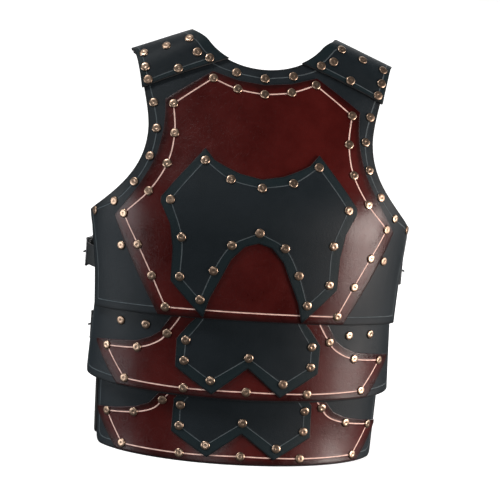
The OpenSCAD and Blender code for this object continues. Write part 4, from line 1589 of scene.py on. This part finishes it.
@dataclass
class Lame:
    """A lame with its winged oxblood overlay, in front its two-pointed crest, and their rivets.

    The corner turn rounds the tooled line: how far in from its side and up from its hem.
    """

    rivets: RivetMaker
    prefix: str
    form: LameForm
    body: Body
    side: float
    rise: float
    overlay_low: Shares
    overlay_top: Shares
    overlay_line: Spans
    side_rivets: tuple[Rivet, ...]
    middle_rivets: tuple[Rivet, ...]
    crest_low: Shares = ()
    crest_top: Shares = ()
    crest_line: Spans = ()
    corner_w: float = 6.0
    corner_h: float = 10.0
    hem_margin: float = 10.5
    side_margin: float = 4.0
    corner_turn: tuple[Point, ...] = ((1.6, 2.2), (0, 8), (0, 16))
    face_h: float = 3.4

    def hem(self, t: Array) -> Array:
        """Finds the hem, which rises round its corner.

        Args:
            t: Girth angles in degrees.

        Returns:
            Heights in mm.
        """
        k = np.clip((np.abs(t) - self.side + self.corner_w) / self.corner_w, 0, 1)
        bow = self.rise * (1 - np.cos(np.radians(t)))
        return self.form.hem_v + bow + self.corner_h * (1 - np.sqrt(1 - k * k))

    def base(self) -> None:
        """Makes the black lame."""
        start = self.side - self.corner_w * (1 - math.sin(math.radians(45)))
        low_v = float(self.hem(np.array(start)))
        level = self.form.hem_v + self.rise * (1 - math.cos(math.radians(self.side)))

        def edge(w: Array) -> Array:
            """Follows the rest of the rounded corner, then the side edge.

            Args:
                w: Shares up.

            Returns:
                Pattern points, one row each.
            """
            v = mix(low_v, self.form.top_v, w)
            k = np.clip(1 - (v - level) / self.corner_h, 0, 1)
            return np.stack([self.side - self.corner_w * (1 - np.sqrt(1 - k * k)), v], -1)

        top = straight((0, self.form.top_v), (self.side, self.form.top_v))
        rows = 2 * round((self.form.top_v - self.form.hem_v) / 6)
        blank = Blank(self.form, (Panel(HemLine(start, self.hem), top, edge, rows),))
        a, m = self.side - self.side_margin, self.hem_margin
        low = [(t, float(self.hem(np.array(t))) + m) for t in np.linspace(0, a - 5, 9)]
        high = self.form.top_v + 6
        turn = [(a - x, level + m + y) for x, y in self.corner_turn]
        make_hide(f"{self.prefix}lame", blank, 0, self.body,
                  ((*low, *turn), ((a, high),), ((0, high),)))

    def trim(self, part: str, level: int, low: Shares, top: Shares, spans: Spans) -> None:
        """Makes the overlay or the crest.

        Args:
            part: Which of them.
            level: The layer that it lies in.
            low: Its bottom outline.
            top: Its top outline.
            spans: Its tooled line.
        """
        height = max(p[2] for p in top) - min(p[2] for p in low)
        make_trim(f"{self.prefix}{part}", self.form, level, self.body, low, top, spans,
                  round(height / self.face_h), 50 if level == 1 else 30)

    def build(self) -> None:
        """Makes all the pieces."""
        self.base()
        stem = "" if self.form.behind else "lame_"
        self.trim(f"{stem}overlay", 1, self.overlay_low, self.overlay_top, self.overlay_line)
        if self.crest_low:
            self.trim(f"{stem}crest", 2, self.crest_low, self.crest_top, self.crest_line)
        name = f"{self.prefix}{stem}rivet"
        self.rivets.group(f"{name}_caps", f"{name}s", self.body,
                          rivet_seats(self.form, self.side_rivets, self.middle_rivets))


def upper_lame(rivets: RivetMaker) -> Lame:
    """Sizes the front upper lame.

    Args:
        rivets: Maker of its rivets.

    Returns:
        The lame.
    """
    return Lame(
        rivets, "upper_", UPPER, Body.FRONT_UPPER, 88, 4,
        overlay_low=((0, 0, 91), (0.7, 53.3, 92.5), (1, 71.6, 141.5)),
        overlay_top=((0, 0, 206), (0.4, 28, 206), (0.5, 31.5, 188.5), (0.6, 34.5, 172),
                     (0.7, 38.4, 163), (0.8, 45.1, 154.4), (1, 72, 145)),
        overlay_line=(((0, 101.5), (23.1, 100.6), (49.2, 102.3)), ((62, 140.3),),
                      ((44.3, 146), (35.5, 157), (31.5, 170.1), (26.5, 196), (24.5, 216)),
                      ((0, 216),)),
        side_rivets=((55.1, 177, 0, IN_STRAP), (41.6, 177.5, 0, IN_STRAP), (31.5, 170.1, 1),
                     (44.3, 146, 1), (62, 140.3, 1), (49.2, 102.3, 1), (23.1, 100.6, 1),
                     (23.6, 164.5, 2, IN_HANGER), (23.6, 137.2, 2, IN_HANGER), (13.2, 113.9, 2)),
        middle_rivets=((0, 101.5, 1), (0, 147.1, 2)),
        crest_low=((0, 0, 133.2), (0.5, 12.4, 95.5), (1, 26.9, 128)),
        crest_top=((0, 0, 204), (0.5, 18, 204), (0.7, 22.6, 187.6), (1, 27.3, 165.5)),
        crest_line=(((0, 147.1), (13.2, 113.9)), ((23.6, 137.2),), ((23.6, 164.5),),
                    ((18.5, 190), (15, 214)), ((0, 214),)),
    )


LOWER_LOW = ((0, 0, 1.5), (0.7, 56.7, 2), (1, 73.8, 47))
LOWER_LINE = (((0, 11.4), (24.3, 10), (52.6, 10.6)), ((63.9, 49),),
              ((46.5, 55.3), (37, 64), (32.7, 77.5), (28, 98), (27, 118)), ((0, 118),))
LOWER_RIVETS = ((32.7, 77.5, 1), (46.5, 55.3, 1), (63.9, 49, 1), (52.6, 10.6, 1), (24.3, 10, 1))


def lower_lame(rivets: RivetMaker) -> Lame:
    """Sizes the front lower lame.

    Args:
        rivets: Maker of its rivets.

    Returns:
        The lame.
    """
    return Lame(
        rivets, "lower_", LOWER, Body.FRONT_LOWER, 77, 0,
        overlay_low=LOWER_LOW,
        overlay_top=((0, 0, 107), (0.4, 31, 107), (0.5, 33.5, 90), (0.6, 38.8, 71.5), (0.7, 45.8, 63),
                     (0.8, 58.4, 56.3), (1, 74, 51)),
        overlay_line=LOWER_LINE,
        side_rivets=(*LOWER_RIVETS, (24.6, 74.3, 2, IN_HANGER), (24.7, 46, 2), (13.8, 23, 2)),
        middle_rivets=((0, 11.4, 1), (0, 55.8, 2)),
        crest_low=((0, 0, 41), (0.5, 13.1, 7.6), (1, 28.1, 37.8)),
        crest_top=((0, 0, 105), (0.5, 20, 105), (0.7, 25.5, 90), (1, 27.6, 81.5)),
        crest_line=(((0, 55.8), (13.8, 23)), ((24.7, 46),), ((24.6, 74.3),), ((20, 95), (17, 116)),
                    ((0, 116),)),
    )


def back_upper_lame(rivets: RivetMaker) -> Lame:
    """Sizes the back upper lame.

    Args:
        rivets: Maker of its rivets.

    Returns:
        The lame.
    """
    return Lame(
        rivets, "back_upper_", BACK_UPPER, Body.BACK_UPPER, 80, 4,
        overlay_low=((0, 0, 91), (0.7, 50, 92.5), (1, 57, 108)),
        overlay_top=((0, 0, 206), (0.4, 28, 206), (0.5, 30, 172), (0.7, 37, 140), (1, 57.5, 112)),
        overlay_line=(((0, 101.5), (23.1, 100.6), (46, 102)), ((51, 110),),
                      ((39, 131), (31.5, 165), (24, 196), (23, 216)), ((0, 216),)),
        side_rivets=((31.5, 165, 1), (39, 131, 1), (51, 110, 1), (23.1, 100.6, 1),
                     (23.6, 164.5, 1, IN_HANGER), (23.6, 137.2, 1, IN_HANGER)),
        middle_rivets=((0, 101.5, 1),),
    )


def back_lower_lame(rivets: RivetMaker) -> Lame:
    """Sizes the back lower lame.

    Args:
        rivets: Maker of its rivets.

    Returns:
        The lame.
    """
    return Lame(
        rivets, "back_lower_", BACK_LOWER, Body.BACK_LOWER, 82, 0,
        overlay_low=LOWER_LOW,
        overlay_top=((0, 0, 107), (0.4, 31, 107), (0.5, 34, 84), (0.6, 38.8, 71.5), (0.8, 58.4, 56.3),
                     (1, 74, 51)),
        overlay_line=LOWER_LINE,
        side_rivets=(*LOWER_RIVETS, (24.6, 74.3, 1, IN_HANGER)),
        middle_rivets=((0, 11.4, 1),),
    )


# ---------------------------------------------------------------- shoulder caps


@dataclass(frozen=True)
class CapHalf:
    """Half of a shoulder cap on one plate: its outer corner, and the guides of its outer edge."""

    form: TorsoForm
    neck: NeckPlan
    corner: Point
    guides: tuple[Point, Point]
    lap: float = 0.4

    def chart(self, c: Array, w: Array) -> Array:
        """Finds pattern points.

        Args:
            c: Shares outwards from the neck.
            w: Shares from the cap's edge to the shoulder line.

        Returns:
            Pattern points.
        """
        form, plan = self.form, self.neck
        wide, cc = w[:, None], c[:, None]
        start_in, start_out = neck_point(form, plan, np.array(plan.cap_start)), np.array(self.corner)
        ridge_in, ridge_out = (np.array((a, float(form.ridge_v(np.array(a)))))
                               for a in (TAB_IN, TAB_OUT))
        outer = Sweep((self.corner, *self.guides, tuple(ridge_out)))(w) + (self.lap, 0)
        inner = neck_point(form, plan, mix(plan.cap_start, 90.0, np.minimum(w, 0.999999)))
        inner = np.where(wide < 1, inner, ridge_in) - (self.lap, 0)
        t = mix(TAB_IN, TAB_OUT, c)
        ridge = np.stack([t, form.ridge_v(t)], -1)
        middle = mix(mix(start_in, start_out, cc), ridge, wide)
        return (middle + (1 - cc) * (inner - mix(start_in, ridge_in, wide))
                + cc * (outer - mix(start_out, ridge_out, wide)))


@dataclass
class ShoulderCaps:
    """Thick saddles of leather over the shoulder tabs, and their rivets."""

    rivets: RivetMaker
    front: CapHalf = CapHalf(BREAST, FRONT_NECK, (46.8, 495), ((48, 515), (51, 550)))
    back: CapHalf = CapHalf(BACK, BACK_NECK, (45.4, 494), ((47.3, 514), (50.8, 549)))
    start: tuple[float, float, float] = (0, -0.012, 0.55)
    end: tuple[float, float, float] = (0, 0.02, 0.55)
    front_rivets: tuple[Point, ...] = (
        (0.15, -0.9), (0.51, -0.9), (0.9, -0.89), (0.21, -0.74), (0.9, -0.66), (0.18, -0.47),
        (0.5, -0.44), (0.86, -0.4))
    back_rivets: tuple[Point, ...] = (
        (0.12, 0.87), (0.5, 0.87), (0.88, 0.87), (0.12, 0.45), (0.88, 0.45))

    def place(self, c: Array | float, w: Array | float, lift: float) -> Array:
        """Finds points of the cap.

        Args:
            c: Shares outwards from the neck.
            w: Shares along, from the front edge at -1 to the back edge at 1.
            lift: Distance outwards in mm.

        Returns:
            Points in mm, one row each.
        """
        c, w = np.broadcast_arrays(np.asarray(c, float), np.asarray(w, float))
        c, w = c.ravel(), w.ravel()
        front = BREAST.lifted(*self.front.chart(c, 1 + np.minimum(w, 0)).T, lift)
        back = BACK.lifted(*self.back.chart(c, 1 - np.maximum(w, 0)).T, lift)
        t = self.front.chart(c, np.ones_like(c))[:, 0]
        n = BREAST.normals(t, BREAST.ridge_v(t)) * (1, 0, 1)
        top = np.stack([HALF_W * np.sin(np.radians(t)), 0 * t, BREAST.ridge_z(t)], -1) + lift * unit(n)
        side = np.where((w < 0)[:, None], front, back)
        return np.where((np.abs(w) < 1e-6)[:, None], top, side)

    def cap(self, side: int) -> Object:
        """Makes one cap.

        Args:
            side: 1 for the right of the picture, -1 for the left.

        Returns:
            The piece.
        """
        low, high, near, far = -0.9, 0.87, 0.13, 0.9
        along, across = np.linspace(low, high, 40), np.linspace(near, far, 10)
        groove = np.vstack([
            np.stack([across, 0 * across + low], -1), np.stack([0 * along + far, along], -1),
            np.stack([across[::-1], 0 * across + high], -1),
            np.stack([0 * along + near, along[::-1]], -1),
        ])
        node = f"shoulder_cap_{side_name(side)}"
        obj = Sheet(
            f"{node}_hide", 22, 64, lambda p: self.place(*p.T, LAYER_GAP + CAP_T), CAP_T, TRIM_SKINS,
            lambda x, y: np.stack([(x + 1) / 2, 2 * y - 1], -1), groove, rounding=1.1,
            side=side).make()
        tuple(self.start)
        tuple(self.end)
        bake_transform(obj)
        stand_for(obj, Slot.BLACK, node)
        return obj

    def seats(self, places: tuple[Point, ...]) -> list[Seat]:
        """Finds where rivets sit on both caps.

        Args:
            places: Their shares outwards and along.

        Returns:
            The seats.
        """
        out = []
        for c, w in places:
            foot = self.place(c, w, 0.0)[0]
            way = unit(self.place(c, w, 10.0)[0] - foot)
            out += mirrored_seats(foot, way, LAYER_GAP + CAP_T, -BASE_T)
        return out

    def build(self) -> None:
        """Makes all the pieces."""
        for side in (1, -1):
            self.cap(side)
        for place, body, places in (("front", Body.FRONT, self.front_rivets),
                                    ("back", Body.BACK, self.back_rivets)):
            self.rivets.group(f"cap_{place}_rivet_caps", f"cap_rivets_{place}", body,
                              self.seats(places))


# ---------------------------------------------------------------- straps, hangers and buckles


@dataclass(frozen=True)
class SideForm(Form):
    """The body's side at a strap's level, upright where the strap lies outside."""

    front: TorsoForm | LameForm
    back: TorsoForm | LameForm
    heel: float
    level: float
    edge: float

    def base(self, t: Array, v: Array) -> Array:
        """Finds points of the bare surface.

        Args:
            t: Girth angles in degrees.
            v: Heights in mm.

        Returns:
            Points in mm, one row each.
        """
        r = np.radians(t)
        upright = np.interp(t, [self.edge - 10, self.edge - 4], [0, 1])
        at = mix(v, self.level, upright)
        depth = np.where(np.cos(r) > 0, self.front.depth_at(at), self.back.depth)
        return np.stack([self.front.width(at) * np.sin(r), -depth * np.cos(r), v + 0 * r], -1)

    @property
    def step(self) -> float:
        """Millimetres along the side for each degree, at the heel bar."""
        r, w = math.radians(self.heel), float(self.front.width(self.level))
        return math.hypot(w * math.cos(r), self.back.depth * math.sin(r)) * math.pi / 180

    def from_heel(self, mm: Array | float) -> Array | float:
        """Returns the girth angle at a distance behind the heel bar."""
        return self.heel + mm / self.step

    def spot(self, mm: Array, lift: Array) -> Array:
        """Finds points on the strap's level.

        Args:
            mm: Distances behind the heel bar.
            lift: Distances outwards.

        Returns:
            Points in mm, one row each.
        """
        t = np.asarray(self.from_heel(np.asarray(mm, float)))
        v = np.full_like(t, self.level)
        n = unit(self.normals(t, v) * (1, 1, 0))
        return self.base(t, v) + np.asarray(lift)[..., None] * n

    def foot(self, mm: float) -> tuple[Array, Array]:
        """Returns the point behind the heel bar on the surface, and the outward direction."""
        point = self.spot(np.array([mm]), np.array([0.0]))[0]
        return point, self.spot(np.array([mm]), np.array([1.0]))[0] - point


@dataclass
class SideStraps:
    """The straps of one level: billets from the front, chapes on the back, keepers and rivets."""

    rivets: RivetMaker
    place: str
    form: SideForm
    front: Body
    back: Body
    start: float
    rise: float
    width: float = 28
    thick: float = 2.2
    chape_t: float = 2
    wire_r: float = 1.7
    stand_off: float = 1
    keeper_t: float = 1.2
    keeper_w: float = 10
    keeper_mm: float = 16
    keeper_bend: float = 2.2
    play: float = 0.4
    window: float = 18
    tail: float = 27
    tip: float = 7
    mm_per_degree: float = 2.3
    face: float = 2.2
    hole: tuple[float, float, float] = (-13.5, -3.5, 2.1)
    slot: Point = (4.6, 3.2)
    chape_l: float = 58
    chape_step: float = 3.0
    chape_rivets: tuple[float, float] = (34, 48)

    def __post_init__(self) -> None:
        """Works out the levels in the buckle's stack."""
        self.low = self.stand_off - 0.2
        self.bar = self.low + self.thick + 0.3 + self.wire_r
        self.wrap = self.wire_r + 0.2 + self.chape_t
        self.upper = self.stand_off + self.chape_t + self.keeper_t + 0.8
        self.over = self.upper + self.chape_t + LAYER_GAP
        self.crest = self.bar + self.wrap + LAYER_GAP

    def billet(self, side: int) -> None:
        """Makes one billet, which comes out from under the front plate and through the buckle.

        Args:
            side: 1 for the right of the picture, -1 for the left.
        """
        f, inner = self.form, -BASE_T - LAYER_GAP - self.thick
        at = f.from_heel
        begin, end = self.start, at(self.tail)
        knots = np.array([
            (begin, inner), (f.edge - 12, inner), (f.edge - 6, inner - 0.8), (f.edge + 1, inner - 0.8),
            (at(-self.window - 10), self.low), (at(-self.window + 3.5), self.low),
            (at(-1.5), self.crest), (at(1.5), self.crest), (at(12), self.over), (at(60), self.over)])
        turns = np.linspace(begin, end, 400)
        soft = smoothed(np.interp(turns, knots[:, 0], knots[:, 1]), 4)
        ends = [begin, f.edge - 22, f.edge - 4]
        hole_start, hole_end, hole_half = self.hole

        def lay(points: Array) -> Array:
            """Finds points of the grain side.

            Args:
                points: Shares across and up.

            Returns:
                Points in mm, one row each.
            """
            x, y = points.T
            t = mix(begin, end, (x + 1) / 2)
            past = np.clip(((t - f.heel) * f.step - self.tail + self.tip) / (self.tip + 0.2), 0, 1)
            half = self.width / 2 * np.sqrt(1 - past**2)
            v = f.level + np.interp(t, ends, [self.rise, self.rise, 0]) + (2 * y - 1) * half
            return f.lifted(t, v, np.interp(t, turns, soft) + self.thick)

        def in_hole(x: Array, y: Array) -> Array:
            """Tells where the prong goes through.

            Args:
                x: Shares along.
                y: Shares across.

            Returns:
                True in the hole.
            """
            mm = (mix(begin, end, (x + 1) / 2) - f.heel) * f.step
            off = np.abs(2 * y - 1) * self.width / 2
            return (mm > hole_start) & (mm < hole_end) & (off < hole_half)

        columns = round((end - begin) * self.mm_per_degree / self.face)
        node = f"{self.place}_strap_{side_name(side)}"
        sheet = Sheet(f"{node}_hide", columns, 14, lay, self.thick, STRAP_SKINS, rounding=0.6,
                      side=side, cut_out=in_hole)
        finish_piece(sheet.make(), self.front, Slot.STRAP, node)

    def chape_path(self) -> tuple[Array, Array]:
        """Follows the middle of the folded chape in plan.

        Returns:
            Its points, and their distances from the heel bar.
        """
        mid, f = self.chape_t / 2, self.form
        low, high = self.stand_off + mid, self.upper + mid
        close = low + self.chape_t + LAYER_GAP
        turn = np.radians(np.arange(-90, -271, -15.0))
        r = self.wrap - mid
        below = np.arange(self.chape_l, 3.9, -self.chape_step)
        above = np.arange(4.0, self.chape_l + 0.1, self.chape_step)
        mm = np.concatenate([below, r * np.cos(turn), above])
        lift = np.concatenate([
            np.interp(below, [4, 10, 99], [self.bar - r + 0.15, low, low]),
            self.bar + r * np.sin(turn),
            np.interp(above, [4, 10, 22, 28, 99], [self.bar + r - 0.15, high, high, close, close])])
        return f.spot(mm, lift)[:, :2], mm

    def chape(self, side: int) -> Object:
        """Makes one chape, folded round the heel bar, with a slot for the prong.

        Args:
            side: 1 for the right of the picture, -1 for the left.

        Returns:
            The chape.
        """
        path, mm = self.chape_path()
        d = np.gradient(path, axis=0)
        way = unit(np.stack([-d[:, 1], d[:, 0]], -1))
        grain = path - self.chape_t / 2 * way
        run = run_along(path)
        slot_mm, slot_half = self.slot

        def lay(points: Array) -> Array:
            """Finds points of the grain side.

            Args:
                points: Shares across and up.

            Returns:
                Points in mm, one row each.
            """
            x, y = points.T
            s = (x + 1) / 2 * run[-1]
            z = self.form.level + (y - 0.5) * self.width
            return np.stack([np.interp(s, run, grain[:, 0]), np.interp(s, run, grain[:, 1]), z], -1)

        def in_slot(x: Array, y: Array) -> Array:
            """Returns where the prong's slot is."""
            here = np.interp((x + 1) / 2 * run[-1], run, mm)
            return (here < slot_mm) & (np.abs(y - 0.5) * self.width < slot_half)

        return Sheet(f"{self.place}_chape", round(run[-1] / 1.6), 18, lay, self.chape_t, STRAP_SKINS,
                     rounding=0.5, side=side, cut_out=in_slot).make()

    def keeper(self, side: int) -> Object:
        """Makes one keeper, a loop round the chape's upper layer and the billet's tail.

        Args:
            side: 1 for the right of the picture, -1 for the left.

        Returns:
            The keeper.
        """
        low = self.upper - self.play - self.keeper_t
        high = self.over + self.thick + self.play + self.keeper_t
        tall = self.width / 2 + 0.6 + self.keeper_t
        middle, out = self.form.foot(self.keeper_mm)
        along = np.array([-out[1], out[0], 0.0])
        r, turn = self.keeper_bend, np.radians(np.linspace(0, 90, 7))
        bends = ((high - r, tall - r, 0), (low + r, tall - r, 90), (low + r, -tall + r, 180),
                 (high - r, -tall + r, 270))
        loop = []
        for lift, z, first in bends:
            a = turn + math.radians(first)
            loop.append(np.stack([lift + r * np.cos(a), z + r * np.sin(a)], -1))
        ring = np.vstack([*loop, loop[0][:1]])
        run = run_along(ring)

        def lay(points: Array) -> Array:
            """Finds points of the grain side.

            Args:
                points: Shares across and up.

            Returns:
                Points in mm, one row each.
            """
            x, y = points.T
            s = (x + 1) / 2 * run[-1]
            lift, z = np.interp(s, run, ring[:, 0]), np.interp(s, run, ring[:, 1])
            flat = middle + lift[:, None] * out + ((0.5 - y) * self.keeper_w)[:, None] * along
            return flat * (1, 1, 0) + np.stack([0 * z, 0 * z, self.form.level + z], -1)

        return Sheet(f"{self.place}_keeper", 60, 6, lay, self.keeper_t, STRAP_SKINS, rounding=0.35,
                     side=side, closed=True).make()

    def build(self) -> None:
        """Makes all the pieces."""
        for side in (1, -1):
            self.billet(side)
        for part, make in (("chape", self.chape), ("keeper", self.keeper)):
            both = join(f"{self.place}_{part}_hides", [make(1), make(-1)])
            finish_piece(both, self.back, Slot.STRAP, f"{self.place}_{part}s")
        top = self.stand_off + 2 * self.chape_t + LAYER_GAP
        seats = [seat for mm in self.chape_rivets
                 for seat in mirrored_seats(*self.form.foot(mm), top, -BASE_T - 0.2)]
        name = f"{self.place}_chape_rivet"
        self.rivets.group(f"{name}_caps", f"{name}s", self.back, seats)


@dataclass
class Hangers:
    """Two straps inside that hang one plate from the next and let it slide.

    The heights are two inside the lower plate and two inside the upper one.
    """

    node: str
    upper: Body
    lower: Body
    above: TorsoForm | LameForm
    below: LameForm
    heights: tuple[float, float, float, float]
    inset: float = BASE_T + 0.8
    margin: float = 2.0
    thick: float = 2.0
    inner_t: float = 19.3
    outer_t: float = 28.6
    blend_margin: float = 18.0
    corner_share: float = 0.55
    corner_power: int = 9
    corner_cut: float = 9.0

    def __post_init__(self) -> None:
        """Works out where the straps end."""
        self.bottom, self.top = self.heights[0] + self.margin, self.heights[3] - self.margin

    def strip(self, side: int) -> Object:
        """Makes one strap.

        Args:
            side: 1 for the right of the picture, -1 for the left.

        Returns:
            The strap.
        """
        forms = (self.below, self.below, self.above, self.above)
        knots = np.array([(v, float(f.depth_at(v)) - self.inset, float(f.width(v)) - self.inset)
                          for f, v in zip(forms, self.heights)])
        rows = np.linspace(self.bottom, self.top, 60)
        soft = [smoothed(np.interp(rows, knots[:, 0], knots[:, i]), 3) for i in (1, 2)]
        flip = -1 if self.below.behind else 1

        def lay(points: Array) -> Array:
            """Finds points of the side towards the plates.

            Args:
                points: Shares across and up.

            Returns:
                Points in mm, one row each.
            """
            x, y = points.T
            across = (flip * x + 1) / 2
            t = np.radians(mix(self.inner_t, self.outer_t, across))
            cut = self.corner_cut * (1 - np.sqrt(1 - (2 * across - 1) ** 2 * self.corner_share))
            v = mix(self.bottom, self.top, y) - (2 * y - 1) ** self.corner_power * cut
            depth, width = (np.interp(v, rows, s) for s in soft)
            return np.stack([width * np.sin(t), -flip * depth * np.cos(t), v], -1)

        return Sheet(f"{self.node}_strip", 8, 36, lay, self.thick, STRAP_SKINS, rounding=0.5,
                     side=side).make()

    def build(self) -> None:
        """Makes both straps as one piece, shaped to run between the two plates."""
        obj = join(f"{self.node}_hides", [self.strip(1), self.strip(-1)])
        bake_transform(obj)
        stand_for(obj, Slot.STRAP, self.node)


@dataclass
class Hardware:
    """Buckle frames and prongs, whose CAD shapes stay."""

    nodes: tuple[str, ...] = (
        "chest_buckles", "waist_buckles", "chest_prong_left", "chest_prong_right", "waist_prong_left",
        "waist_prong_right")

    def build(self) -> None:
        """Gives each node its blackened steel."""
        for name in self.nodes:
            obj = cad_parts[name]
            obj.data.materials.clear()
            obj.data.materials.append(STEEL)
            log.info("%s: blackened steel on its CAD shape", name)


# ---------------------------------------------------------------- floor, light and camera


@dataclass(frozen=True)
class Sun:
    """A far lamp, soft by its spread in degrees."""

    name: str
    azimuth: float
    elevation: float
    power: float
    spread: float

    def place(self) -> None:
        """Puts the lamp in the scene."""
        lamp = bpy.data.lights.new(self.name, "SUN")
        lamp.energy, lamp.angle = self.power, math.radians(self.spread)
        obj = add_object(self.name, lamp)
        obj.rotation_euler = (math.radians(90 - self.elevation), 0, math.radians(self.azimuth))


@dataclass(frozen=True)
class Softbox:
    """A soft rectangular lamp standing round the object and facing its middle."""

    name: str
    azimuth: float
    distance: float
    height: float
    width: float
    tall: float
    power: float
    colour: Colour = (1.0, 1.0, 1.0)
    aim: tuple[float, float, float] = (0, 0, 0.3)

    def place(self) -> None:
        """Puts the lamp in the scene."""
        lamp = bpy.data.lights.new(self.name, "AREA")
        lamp.shape, lamp.size, lamp.size_y = "RECTANGLE", self.width, self.tall
        lamp.energy, lamp.color = self.power, self.colour
        obj = add_object(self.name, lamp)
        a = math.radians(self.azimuth)
        obj.location = (self.distance * math.sin(a), -self.distance * math.cos(a), self.height)
        obj.rotation_euler = (Vector(self.aim) - obj.location).to_track_quat("-Z", "Y").to_euler()
        obj.visible_camera = False


@dataclass
class Studio:
    """A plain pale floor, soft light and the camera. Sizes are in metres, angles in degrees."""

    target: tuple[float, float, float] = (0, 0, 0.205)
    distance: float = 2.3983
    azimuth: float = -6.104
    elevation: float = 10.671
    roll: float = 4.529
    lens: float = 126.97
    sensor: float = 36
    shift: Point = (0.0125, 0.0942)
    floor_r: float = 60
    floor_glow: float = 0.8
    surrounding: float = 0.08
    lamps: tuple[Sun | Softbox, ...] = (
        Sun("key_light", -62, 56, 1.9, 16),
        Sun("front_light", -10, 14, 0.35, 20),
        Sun("side_light", 97, 8, 0.8, 24),
        Sun("top_light", 180, 78, 0.2, 40),
        Sun("back_light", 170, 40, 0.8, 50),
        Softbox("right_softbox", 63, 1.6, 0.27, 0.72, 0.58, 29, (1.0, 0.90, 0.84)),
        Softbox("left_softbox", -78, 1.6, 0.25, 1.15, 0.6, 13, (0.96, 0.98, 1.0)),
        Softbox("rear_softbox", 150, 1.8, 0.5, 0.6, 0.8, 8),
    )

    def floor(self) -> None:
        """Lays the floor."""
        clear_selection()
        bpy.ops.mesh.primitive_circle_add(vertices=96, radius=self.floor_r, fill_type="TRIFAN")
        obj = bpy.context.object
        obj.name = "studio_floor"
        made, g, shader, place = start_material("pale_floor")
        g.feed(shader, {
            "Base Color": g.blend(g.noise(place, 3.0, 2.0), (0.52, 0.52, 0.52), (0.56, 0.56, 0.56)),
            "Roughness": 0.9,
            "Specular IOR Level": 0.0,
            "Emission Color": (1.0, 1.0, 1.0, 1.0),
            "Emission Strength": self.floor_glow,
        })
        obj.data.materials.append(made)
        obj.visible_glossy = obj.visible_diffuse = obj.visible_shadow = False

    def light(self) -> None:
        """Sets the lamps and a pale surrounding, which only the camera sees at full strength."""
        for lamp in self.lamps:
            lamp.place()
        world = bpy.data.worlds.new("pale_surrounding")
        bpy.context.scene.world = world
        world.use_nodes = True
        g = Graph(world.node_tree)
        seen = g.node("ShaderNodeLightPath").outputs["Is Camera Ray"]
        g.feed(world.node_tree.nodes["Background"], {
            "Color": (1.0, 1.0, 1.0, 1.0), "Strength": g.ramp(seen, 0.0, 1.0, self.surrounding, 1.0)})
        bpy.context.scene.view_settings.view_transform = "Standard"

    def camera(self) -> None:
        """Puts the camera where the photograph was taken from."""
        az, el, roll = (math.radians(a) for a in (self.azimuth, self.elevation, self.roll))
        back = Vector((math.sin(az) * math.cos(el), -math.cos(az) * math.cos(el), math.sin(el)))
        right = Vector((math.cos(az), math.sin(az), 0))
        up = back.cross(right)
        x = right * math.cos(roll) + up * math.sin(roll)
        y = up * math.cos(roll) - right * math.sin(roll)
        data = bpy.data.cameras.new("photo_camera")
        data.lens, data.sensor_width = self.lens, self.sensor
        data.shift_x, data.shift_y = self.shift
        data.clip_start, data.clip_end = 0.1, 200
        obj = add_object("photo_camera", data)
        obj.matrix_world = Matrix.Translation(Vector(self.target) + back * self.distance) @ Matrix(
            (x, y, back)).transposed().to_4x4()
        bpy.context.scene.camera = obj

    def build(self) -> None:
        """Makes the floor, the light and the camera."""
        self.floor()
        self.light()
        self.camera()


def main() -> None:
    """Builds every piece."""
    logging.basicConfig(level=logging.INFO, format="%(name)s %(message)s")
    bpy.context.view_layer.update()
    Studio().build()
    rivets = RivetMaker()
    rivets.start()
    for make in (breast_plate, back_plate, upper_lame, lower_lame, back_upper_lame, back_lower_lame):
        make(rivets).build()
    ShoulderCaps(rivets).build()
    chest = SideForm(BREAST, BACK, heel=106, level=252, edge=77)
    waist = SideForm(UPPER, BACK_UPPER, heel=112, level=150, edge=88)
    SideStraps(rivets, "chest", chest, Body.FRONT, Body.BACK, start=41, rise=23).build()
    SideStraps(rivets, "waist", waist, Body.FRONT_UPPER, Body.BACK_UPPER, start=37, rise=20).build()
    upper_heights, lower_heights = (150, 212, 238, 264), (60, 114, 131, 148)
    for level, upper, lower, above, below, heights in (
        ("front_upper", Body.FRONT, Body.FRONT_UPPER, BREAST, UPPER, upper_heights),
        ("back_upper", Body.BACK, Body.BACK_UPPER, BACK, BACK_UPPER, upper_heights),
        ("front_lower", Body.FRONT_UPPER, Body.FRONT_LOWER, UPPER, LOWER, lower_heights),
        ("back_lower", Body.BACK_UPPER, Body.BACK_LOWER, BACK_UPPER, BACK_LOWER, lower_heights),
    ):
        Hangers(f"{level}_hangers", upper, lower, above, below, heights).build()
    rivets.done()
    Hardware().build()
    clear_selection()


if __name__ == "__main__":
    main()
